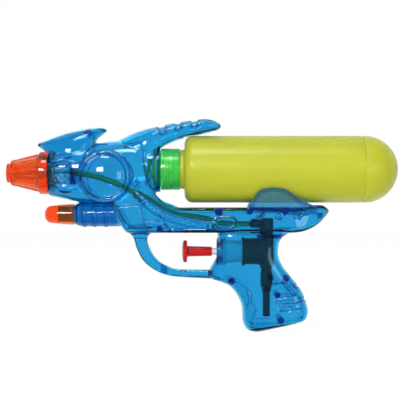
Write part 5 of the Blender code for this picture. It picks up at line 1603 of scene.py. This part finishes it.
def outlet_elbow():
    """An elbow that caps the valve column and turns the water forward to the hose, ringed along its arm."""
    column = (COLUMN_X, 0, 0)
    level = (0, 0, ELBOW_Z)
    top = ELBOW_Z + ELBOW_CROWN
    low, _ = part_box("outlet_elbow")
    arm = [(COLUMN_X, 0), (COLUMN_X, ELBOW_RADIUS)]
    valley = ELBOW_RADIUS - ELBOW_RING_HEIGHT
    pitch = (ELBOW_REACH - ELBOW_SOCKET_RADIUS) / ELBOW_RINGS
    for index in range(ELBOW_RINGS):
        x = COLUMN_X - ELBOW_SOCKET_RADIUS - pitch * index
        arm += [(x, valley), (x - pitch / 2, ELBOW_RADIUS)]
    arm += stairs(
        valley,
        (ELBOW_STUB_END_X, ELBOW_STUB_RADIUS),
        (ELBOW_STUB_X, BARB_RADIUS),
        (low.x, 0),
    )
    body = rod("elbow_body", "Z", low.z, top, ELBOW_SOCKET_RADIUS, column, edge=LARGE_EDGE)
    combine(body, turned("arm", softened(arm, FINE_EDGE), "X", level, ARM_SIDES), "UNION")
    socket = OUTLET_SPIGOT_RADIUS + FIT
    cuts = (
        rod("cut", "Z", low.z - CUT_PAST, top - ELBOW_CAP, socket, column),
        rod("cut", "X", low.x - CUT_PAST, COLUMN_X - socket / 2, BARB_RADIUS / 2, level, SMALL_SIDES),
    )
    for cut in cuts:
        combine(body, cut, "DIFFERENCE")
    return body


def hose_points():
    """The hose's middle line, straight where it sits on a barb."""
    straight = BARB_LENGTH + HOSE_STRAIGHT_PAST_BARB
    knots = [(HOSE_START_X + straight, 0, NOZZLE_Z)]
    knots += [(x, 0, z) for x, z in HOSE_ROUTE]
    knots += [(HOSE_END_X - straight, 0, ELBOW_Z)]
    ends = ((HOSE_START_X, 0, NOZZLE_Z), (HOSE_END_X, 0, ELBOW_Z))
    return np.concatenate(([ends[0]], smooth_through(knots, HOSE_STEPS), [ends[1]]))


def tube(name, points, bore, radius):
    """A round tube along points in the XZ plane, solid where the bore is 0."""
    turns = np.arange(HOSE_SIDES) * math.tau / HOSE_SIDES
    side = np.array((0, 1, 0))
    outside, inside = [], []
    for index, point in enumerate(points):
        along = points[min(index + 1, len(points) - 1)] - points[max(index - 1, 0)]
        along = along / np.linalg.norm(along)
        across = np.array((-along[2], 0, along[0]))
        circle = np.cos(turns)[:, None] * across + np.sin(turns)[:, None] * side
        outside.append(point + radius * circle)
        inside.append(point + bore * circle)
    if bore == 0:
        return lofted(name, outside)
    return lofted(name, outside + inside[::-1], endless=True)


def shade(piece):
    """Shade smooth, but for sharp edges."""
    piece.data.shade_smooth()
    piece.data.set_sharp_from_angle(angle=SHARP_ANGLE)


# Finishes
def set_inputs(tree, node, inputs):
    """Give each input of a node, by name or number, its value or a link from another node's output."""
    for socket, value in inputs.items():
        if isinstance(value, bpy.types.NodeSocket):
            tree.links.new(value, node.inputs[socket])
        else:
            node.inputs[socket].default_value = value


def add_node(tree, kind, inputs, **settings):
    """A new node with its settings and inputs."""
    node = tree.nodes.new(kind)
    for name, value in settings.items():
        setattr(node, name, value)
    set_inputs(tree, node, inputs)
    return node


def mixed(tree, factor, start, end, kind="FLOAT"):
    """A number or a colour between two others, each a value or an output."""
    inputs = {"Factor": factor, "A": start, "B": end}
    return add_node(tree, "ShaderNodeMix", inputs, data_type=kind).outputs["Result"]


def ranged(tree, value, low, high, **inputs):
    """A number from low to high, as a value goes from 0 to 1 or over the range given."""
    span = {name.replace("_", " "): limit for name, limit in inputs.items()}
    inputs = {"Value": value, "To Min": low, "To Max": high, **span}
    return add_node(tree, "ShaderNodeMapRange", inputs).outputs["Result"]


def noise(tree, scale, detail):
    """Soft noise in the object's own space, with its scale in marks per metre."""
    place = add_node(tree, "ShaderNodeTexCoord", {}).outputs["Object"]
    inputs = {"Vector": place, "Scale": scale, "Detail": detail}
    return add_node(tree, "ShaderNodeTexNoise", inputs).outputs["Fac"]


def moulded(name, colour, roughness, grain, depth, **sockets):
    """Moulded plastic or rubber: its colour and gloss drift a little, over a fine grain.

    Roughness is a lowest and a highest value, grain the marks per metre, and depth the grain's height.
    """
    material = bpy.data.materials.new(name)
    material.use_nodes = True
    tree = material.node_tree
    cloud = noise(tree, CLOUD_SCALE, CLOUD_DETAIL)
    dark, pale = [(*[min(1, drift * value) for value in colour], 1) for drift in COLOUR_DRIFT]
    relief = {"Height": noise(tree, grain, GRAIN_DETAIL), "Strength": 1, "Distance": depth}
    inputs = {
        "Base Color": mixed(tree, cloud, dark, pale, "RGBA"),
        "Roughness": ranged(tree, cloud, *roughness),
        "Normal": add_node(tree, "ShaderNodeBump", relief).outputs["Normal"],
    }
    for socket, value in sockets.items():
        inputs[socket.replace("_", " ")] = value
    set_inputs(tree, tree.nodes["Principled BSDF"], inputs)
    return material


def tinted_through(material, colour, density):
    """Give a clear material its colour through its thickness."""
    tree = material.node_tree
    absorb = add_node(tree, "ShaderNodeVolumeAbsorption", {"Color": (*colour, 1), "Density": density})
    set_inputs(tree, tree.nodes["Material Output"], {"Volume": absorb.outputs["Volume"]})
    return material


def mesh_value(tree, name):
    """A number that the mesh keeps for each of its points."""
    return add_node(tree, "ShaderNodeAttribute", {}, attribute_name=name).outputs["Fac"]


def paint_shade_and_tint(material, colour):
    """Paint shade into a shell's colour along its moulded edges, and a deeper blue on the other places the
    mesh marks.
    """
    tree = material.node_tree
    shader = tree.nodes["Principled BSDF"]
    plain = shader.inputs["Base Color"].links[0].from_socket
    deep = mixed(tree, mesh_value(tree, "painted_shade_and_tint"), plain, (*colour, 1), "RGBA")
    set_inputs(tree, shader, {"Base Color": deep})


def cloud_over(material, clearness):
    """Make a clear shell let less light straight through where it is cloudy."""
    tree = material.node_tree
    through = ranged(tree, mesh_value(tree, "cloudy"), 1.0, clearness)
    set_inputs(tree, tree.nodes["Principled BSDF"], {"Transmission Weight": through})


def clear_blue():
    material = moulded("clear_blue", colour=(0.36, 0.67, 0.88), roughness=(0.02, 0.06),
                       grain=140, depth=0.00002, IOR=PLASTIC_IOR)
    # Painted shade: a deep blue laid along the moulded edges and on the other places the mesh marks
    paint_shade_and_tint(material, colour=(0.005, 0.06, 0.40))
    cloud_over(material, clearness=0.87)
    return tinted_through(material, colour=(0.03, 0.85, 0.937), density=620)


def clear_orange():
    material = moulded("clear_orange", colour=(1.0, 0.36, 0.08), roughness=(0.02, 0.05),
                       grain=200, depth=0.00002, Transmission_Weight=0.92, IOR=PLASTIC_IOR)
    return tinted_through(material, colour=(0.99, 0.18, 0.01), density=170)


def clear_green():
    material = moulded("clear_green", colour=(0.15, 0.95, 0.22), roughness=(0.10, 0.22),
                       grain=320, depth=0.00030, Transmission_Weight=0.75, IOR=PLASTIC_IOR)
    return tinted_through(material, colour=(0.25, 0.97, 0.35), density=120)


def milky_lime():
    return moulded("milky_lime", colour=(0.78, 0.81, 0.045), roughness=(0.42, 0.52),
                   grain=260, depth=0.00003, Transmission_Weight=0.68, IOR=PLASTIC_IOR,
                   Coat_Weight=0.3, Coat_Roughness=0.25)


def gloss_red():
    return moulded("gloss_red", colour=(0.56, 0.008, 0.005), roughness=(0.16, 0.26),
                   grain=600, depth=0.00003)


def white_plastic():
    return moulded("white_plastic", colour=(0.90, 0.91, 0.90), roughness=(0.28, 0.40),
                   grain=700, depth=0.00003)


def black_plastic():
    return moulded("black_plastic", colour=(0.012, 0.012, 0.014), roughness=(0.30, 0.45),
                   grain=900, depth=0.00005)


def black_rubber():
    return moulded("black_rubber", colour=(0.014, 0.014, 0.015), roughness=(0.60, 0.78),
                   grain=1200, depth=0.00006)


def white_rubber():
    return moulded("white_rubber", colour=(0.78, 0.78, 0.74), roughness=(0.55, 0.70),
                   grain=1200, depth=0.00005)


def bright_steel():
    return moulded("bright_steel", colour=(0.56, 0.56, 0.57), roughness=(0.18, 0.30),
                   grain=1500, depth=0.00002, Metallic=1.0)


def green_vinyl():
    return moulded("green_vinyl", colour=(0.035, 0.42, 0.12), roughness=(0.30, 0.42),
                   grain=600, depth=0.00003)


# Stage
def camera():
    data = bpy.data.cameras.new("camera")
    data.lens = CAMERA_LENS
    view = placed("camera", data)
    view.location = CAMERA_AIM - Vector((0, CAMERA_DISTANCE, 0))
    view.rotation_euler = (CAMERA_AIM - view.location).to_track_quat("-Z", "Y").to_euler()
    bpy.context.scene.camera = view


def softbox(name, azimuth, elevation, width, height, power):
    """A rectangular lamp aimed at the object."""
    data = bpy.data.lights.new(name, "AREA")
    data.shape = "RECTANGLE"
    data.size = width
    data.size_y = height
    data.energy = power
    lamp = placed(name, data)
    turn, rise = math.radians(azimuth), math.radians(elevation)
    away = Vector((math.sin(turn) * math.cos(rise), -math.cos(turn) * math.cos(rise), math.sin(rise)))
    lamp.location = CAMERA_AIM + LAMP_DISTANCE * away
    lamp.rotation_euler = (-away).to_track_quat("-Z", "Y").to_euler()


def seen_directly(tree):
    """1 for rays that show the background straight or through something clear, and else 0."""
    rays = add_node(tree, "ShaderNodeLightPath", {}).outputs
    either = {0: rays["Is Camera Ray"], 1: rays["Is Transmission Ray"]}
    return add_node(tree, "ShaderNodeMath", either, operation="MAXIMUM").outputs["Value"]


def mirrored_level(tree):
    """How bright the surroundings look in a gloss: white behind the object and dim in front of it."""
    place = add_node(tree, "ShaderNodeTexCoord", {}).outputs["Generated"]
    depth = add_node(tree, "ShaderNodeSeparateXYZ", {"Vector": place}).outputs["Y"]
    start, end = MIRROR_FADE
    return ranged(tree, depth, FRONT_MIRRORED, 1.0, From_Min=start, From_Max=end)


def surroundings():
    """White all round where it is seen, and a plain level of light on the object."""
    world = bpy.data.worlds.new("surroundings")
    world.use_nodes = True
    tree = world.node_tree
    glossy = add_node(tree, "ShaderNodeLightPath", {}).outputs["Is Glossy Ray"]
    level = mixed(tree, glossy, WORLD_LIGHT, mirrored_level(tree))
    level = mixed(tree, seen_directly(tree), level, 1.0)
    set_inputs(tree, tree.nodes["Background"], {"Color": (1, 1, 1, 1), "Strength": level})
    bpy.context.scene.world = world


def pale_floor():
    """The floor's finish: it shows white, but keeps a little of the object's shadow."""
    material = bpy.data.materials.new("pale_floor")
    material.use_nodes = True
    tree = material.node_tree
    shader = tree.nodes["Principled BSDF"]
    plain = {"Base Color": FLOOR_COLOUR, "Roughness": FLOOR_ROUGHNESS, "Specular IOR Level": 0}
    set_inputs(tree, shader, plain)
    glow = add_node(tree, "ShaderNodeEmission", {"Strength": FLOOR_GLOW})
    share = mixed(tree, seen_directly(tree), FLOOR_BOUNCE_SHARE, FLOOR_GLOW_SHARE)
    shaders = {"Fac": share, 1: shader.outputs["BSDF"], 2: glow.outputs["Emission"]}
    mix = add_node(tree, "ShaderNodeMixShader", shaders)
    set_inputs(tree, tree.nodes["Material Output"], {"Surface": mix.outputs["Shader"]})
    return material


def floor():
    """A flat floor under the object."""
    corners = [(x * FLOOR_HALF, y * FLOOR_HALF, -FIT) for x, y in ((-1, -1), (1, -1), (1, 1), (-1, 1))]
    mesh = bpy.data.meshes.new("floor")
    mesh.from_pydata(corners, [], [(0, 1, 2, 3)])
    mesh.materials.append(pale_floor())
    piece = placed("floor", mesh)
    piece.visible_glossy = False


def dress(piece, node, body, material):
    """Put a finished piece in the place of its node."""
    shade(piece)
    piece.data.materials.clear()
    piece.data.materials.append(material)
    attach(piece, body)
    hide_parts(node)
    return piece


def squash_spring(spring):
    """Give the spring a mesh of its own; it is not shortened here."""
    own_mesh(spring)


def dress_all():
    blue = clear_blue()
    orange = clear_orange()
    black = black_plastic()
    rubber = black_rubber()
    pale_rubber = white_rubber()
    white = white_plastic()
    steel = bright_steel()
    left, right = shells()
    dress(left, "left_shell", "housing", blue)
    dress(right, "right_shell", "housing", blue)
    dress(nozzle(), "nozzle", "housing", orange)
    dress(nozzle_jet(), "nozzle_jet", "housing", white)
    dress(lower_tip(), "lower_tip", "housing", orange)
    dress(neck_collar(), "neck_collar", "housing", clear_green())
    gasket_bore = COLLAR_WAIST_RADIUS + FIT
    gasket = seal("gasket_ring", "collar_gasket", gasket_bore, THIN_EDGE)
    dress(gasket, "collar_gasket", "housing", pale_rubber)
    washer_bore = node_radius("neck_seal") - NECK_SEAL_WIDTH
    washer = seal("neck_washer", "neck_seal", washer_bore, THIN_EDGE)
    dress(washer, "neck_seal", "neck_seal", pale_rubber)
    dress(bottle(), "bottle", "bottle", milky_lime())
    dress(trigger(), "trigger", "trigger", gloss_red())
    dress(plunger(), "plunger", "trigger", white)
    ring_bore = node_radius("plunger") - PISTON_GROOVE_DEPTH + FIT
    piston_ring = seal("piston_ring", "piston_seal", ring_bore, MOULDED_EDGE)
    dress(piston_ring, "piston_seal", "trigger", rubber)
    dress(pump_barrel(), "pump_barrel", "housing", white)
    seal_bore = BARREL_RADIUS + FIT
    barrel_ring = seal("barrel_ring", "barrel_seal", seal_bore, SOFT_EDGE)
    dress(barrel_ring, "barrel_seal", "housing", pale_rubber)
    dress(valve_block(), "valve_block", "housing", black)
    dress(inlet_fitting(), "inlet_fitting", "housing", black)
    dress(valve_ball("ball_inlet", "inlet_ball"), "inlet_ball", "inlet_ball", steel)
    dress(valve_ball("ball_outlet", "outlet_ball"), "outlet_ball", "outlet_ball", steel)
    dress(dip_tube(), "dip_tube", "housing", black)
    dress(outlet_elbow(), "outlet_elbow", "housing", black)
    line = tube("water_hose", hose_points(), HOSE_BORE, HOSE_RADIUS)
    dress(line, "hose", "housing", green_vinyl())
    squash_spring(dress(return_spring(), "return_spring", "housing", steel))


dress_all()
camera()
surroundings()
floor()
for lamp in LAMPS:
    softbox(*lamp)
bpy.context.scene.view_settings.view_transform = "Standard"
bpy.context.scene.cycles.max_bounces = LIGHT_BOUNCES
bpy.context.scene.cycles.transmission_bounces = LIGHT_BOUNCES
